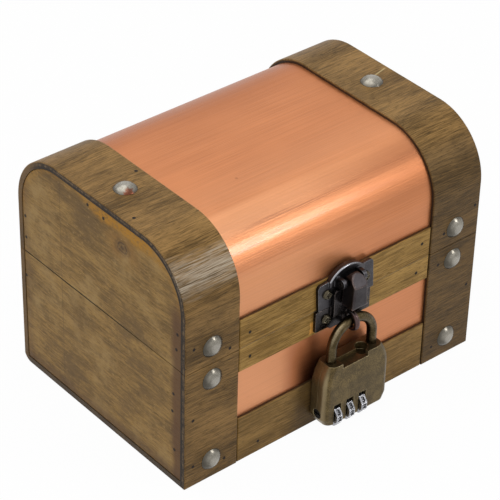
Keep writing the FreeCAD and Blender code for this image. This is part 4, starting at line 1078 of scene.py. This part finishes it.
@dataclass
class Padlock:
    """Combination padlock with digits round its number wheels."""

    digit_height: float = 2.4
    font_size: float = 1.38
    digit_weight: float = 0.16
    digit_proud: float = 0.03
    panel_depth: float = 0.08
    shown: tuple[int, ...] = (2, 2, 2)
    digits: int = 10
    wheels: tuple[str, ...] = ("padlock_left_wheel", "padlock_middle_wheel", "padlock_right_wheel")

    def build(self) -> None:
        """Print the digits on the panels of every wheel."""
        for wheel, shown in zip(self.wheels, self.shown):
            low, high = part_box(wheel)
            middle = (low + high) / 2
            reach = (high.y - low.y) / 2 + (self.digit_proud - self.panel_depth) * MM
            face = Matrix.Translation((0, -reach, 0)) @ Matrix.Rotation(math.radians(90), 4, "X")
            shape = bmesh.new()
            for step in range(self.digits):
                turn = Matrix.Rotation(-2 * math.pi * step / self.digits, 4, "X")
                digit = str((shown + step) % self.digits)
                self.print_digit(shape, digit, Matrix.Translation(middle) @ turn @ face)
            add_piece(wheel + "_digits", shape, DIGIT_INK, wheel)

    def print_digit(self, shape: bmesh.types.BMesh, digit: str, place: Matrix) -> None:
        """Print one digit on a wheel's panel.

        Args:
            shape: Mesh that gathers the wheel's digits.
            digit: Character to print.
            place: Where the digit's own plane goes.
        """
        curve = bpy.data.curves.new("digit", "FONT")
        curve.body = digit
        curve.align_x = "CENTER"
        curve.align_y = "CENTER"
        curve.size = self.digit_height * MM * self.font_size
        curve.offset = self.digit_weight * MM
        writer = bpy.data.objects.new("digit", curve)
        mesh = bpy.data.meshes.new_from_object(writer)
        mesh.transform(place)
        shape.from_mesh(mesh)
        bpy.data.meshes.remove(mesh)
        bpy.data.objects.remove(writer)
        bpy.data.curves.remove(curve)

    def dress(self) -> None:
        """Give the case, shackle and wheels their finish."""
        for name in ("padlock_front_case", "padlock_back_case"):
            dress(name, LOCK_BRASS)
        dress("padlock_shackle", SHACKLE_BRASS)
        dress("padlock_reset_plug", PLUG_BLACK)
        for name in ("padlock_stop_pin", "padlock_wheel_axle"):
            dress(name, PIN_STEEL)
        for name in self.wheels:
            dress(name, WHEEL_PLATE)


@dataclass
class Studio:
    """Pale floor, soft lamps, white surroundings and the camera."""

    floor_size: float = 6.0
    floor_drop: float = 0.0002
    floor_glow: float = 0.97
    paper: tuple[float, ...] = (0.86, 0.86, 0.86, 1.0)
    white: tuple[float, ...] = (1.0, 1.0, 1.0, 1.0)
    surround: float = 0.45
    camera_at: Spot = (-0.49046, -0.56865, 0.58734)
    azimuth: float = -40.78
    elevation: float = 35.57
    roll: float = 1.53
    lens: float = 165.87
    sensor: float = 36.0
    lamps_aim: Spot = (0.0, 0.0, 0.05)
    lamps: tuple[tuple[str, Spot, float, float], ...] = (
        ("overhead_softbox", (-0.3, 0.12, 0.95), 1.2, 6.0),
        ("front_softbox", (0.47, -0.78, 0.65), 0.26, 2.2),
    )

    def build(self) -> None:
        """Set up everything around the object."""
        self.lay_floor()
        self.light_world()
        for lamp in self.lamps:
            self.hang(*lamp)
        self.set_camera()
        bpy.context.scene.view_settings.view_transform = "Standard"

    def lay_floor(self) -> None:
        """Lay the floor, white to the camera but for the object's shadow."""
        shape = bmesh.new()
        bmesh.ops.create_grid(shape, x_segments=1, y_segments=1, size=self.floor_size / 2)
        bmesh.ops.translate(shape, verts=shape.verts, vec=(0, 0, -self.floor_drop))
        mesh = bpy.data.meshes.new("studio_floor")
        shape.to_mesh(mesh)
        shape.free()
        floor = bpy.data.objects.new("studio_floor", mesh)
        bpy.context.scene.collection.objects.link(floor)
        material = bpy.data.materials.new("floor_white")
        material.use_nodes = True
        web = Web(material.node_tree)
        paper = web.node("ShaderNodeBsdfDiffuse", {}, {"Color": self.paper})
        glow = web.node("ShaderNodeEmission", {}, {"Color": self.white, "Strength": 1.0})
        share = self.seen(web) * self.floor_glow
        web.close(web.node("ShaderNodeMixShader", {}, {0: share, 1: paper, 2: glow}))
        mesh.materials.append(material)

    def seen(self, web: Web) -> Wire:
        """Mask of the rays that see the white background: camera, glossy and transmission rays."""
        camera = web.node("ShaderNodeLightPath", {}, {}, "Is Camera Ray")
        glossy = web.node("ShaderNodeLightPath", {}, {}, "Is Glossy Ray")
        through = web.node("ShaderNodeLightPath", {}, {}, "Is Transmission Ray")
        return camera.most(glossy).most(through)

    def light_world(self) -> None:
        """Light the object from all round and show white behind it."""
        world = bpy.data.worlds.new("studio_white")
        world.use_nodes = True
        bpy.context.scene.world = world
        web = Web(world.node_tree)
        strength = self.surround + self.seen(web) * (1.0 - self.surround)
        glow = web.node("ShaderNodeBackground", {}, {"Color": self.white, "Strength": strength})
        web.add("ShaderNodeOutputWorld", {}, {"Surface": glow})

    def hang(self, name: str, place: Spot, size: float, power: float) -> None:
        """Hang a square soft lamp that faces the chest.

        Args:
            name: Name of the lamp.
            place: Where it hangs, in metres.
            size: Width of the lamp in metres.
            power: Power in watts.
        """
        data = bpy.data.lights.new(name, "AREA")
        data.shape = "SQUARE"
        data.size = size
        data.energy = power
        lamp = bpy.data.objects.new(name, data)
        lamp.location = place
        towards = Vector(self.lamps_aim) - Vector(place)
        lamp.rotation_euler = towards.to_track_quat("-Z", "Y").to_euler()
        bpy.context.scene.collection.objects.link(lamp)

    def set_camera(self) -> None:
        """Put the camera at the photograph's place and angle."""
        azimuth = math.radians(self.azimuth)
        elevation = math.radians(self.elevation)
        roll = math.radians(self.roll)
        level = math.cos(elevation)
        back = Vector((math.sin(azimuth) * level, -math.cos(azimuth) * level, math.sin(elevation)))
        right = (-back).cross(Vector((0, 0, 1))).normalized()
        up = right.cross(-back)
        across = right * math.cos(roll) + up * math.sin(roll)
        upward = up * math.cos(roll) - right * math.sin(roll)
        data = bpy.data.cameras.new("camera")
        data.lens = self.lens
        data.sensor_width = self.sensor
        camera = bpy.data.objects.new("camera", data)
        turn = Matrix((across, upward, back)).transposed().to_4x4()
        camera.matrix_world = Matrix.Translation(self.camera_at) @ turn
        bpy.context.scene.collection.objects.link(camera)
        bpy.context.scene.camera = camera


def main() -> None:
    """Build the pieces, dress the frame and set up the studio."""
    logging.basicConfig(level=logging.INFO, format="%(name)s: %(message)s")
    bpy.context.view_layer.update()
    for builder in (Chest(), Padlock()):
        builder.build()
        builder.dress()
    Ironwork().dress()
    Studio().build()


if __name__ == "__main__":
    main()
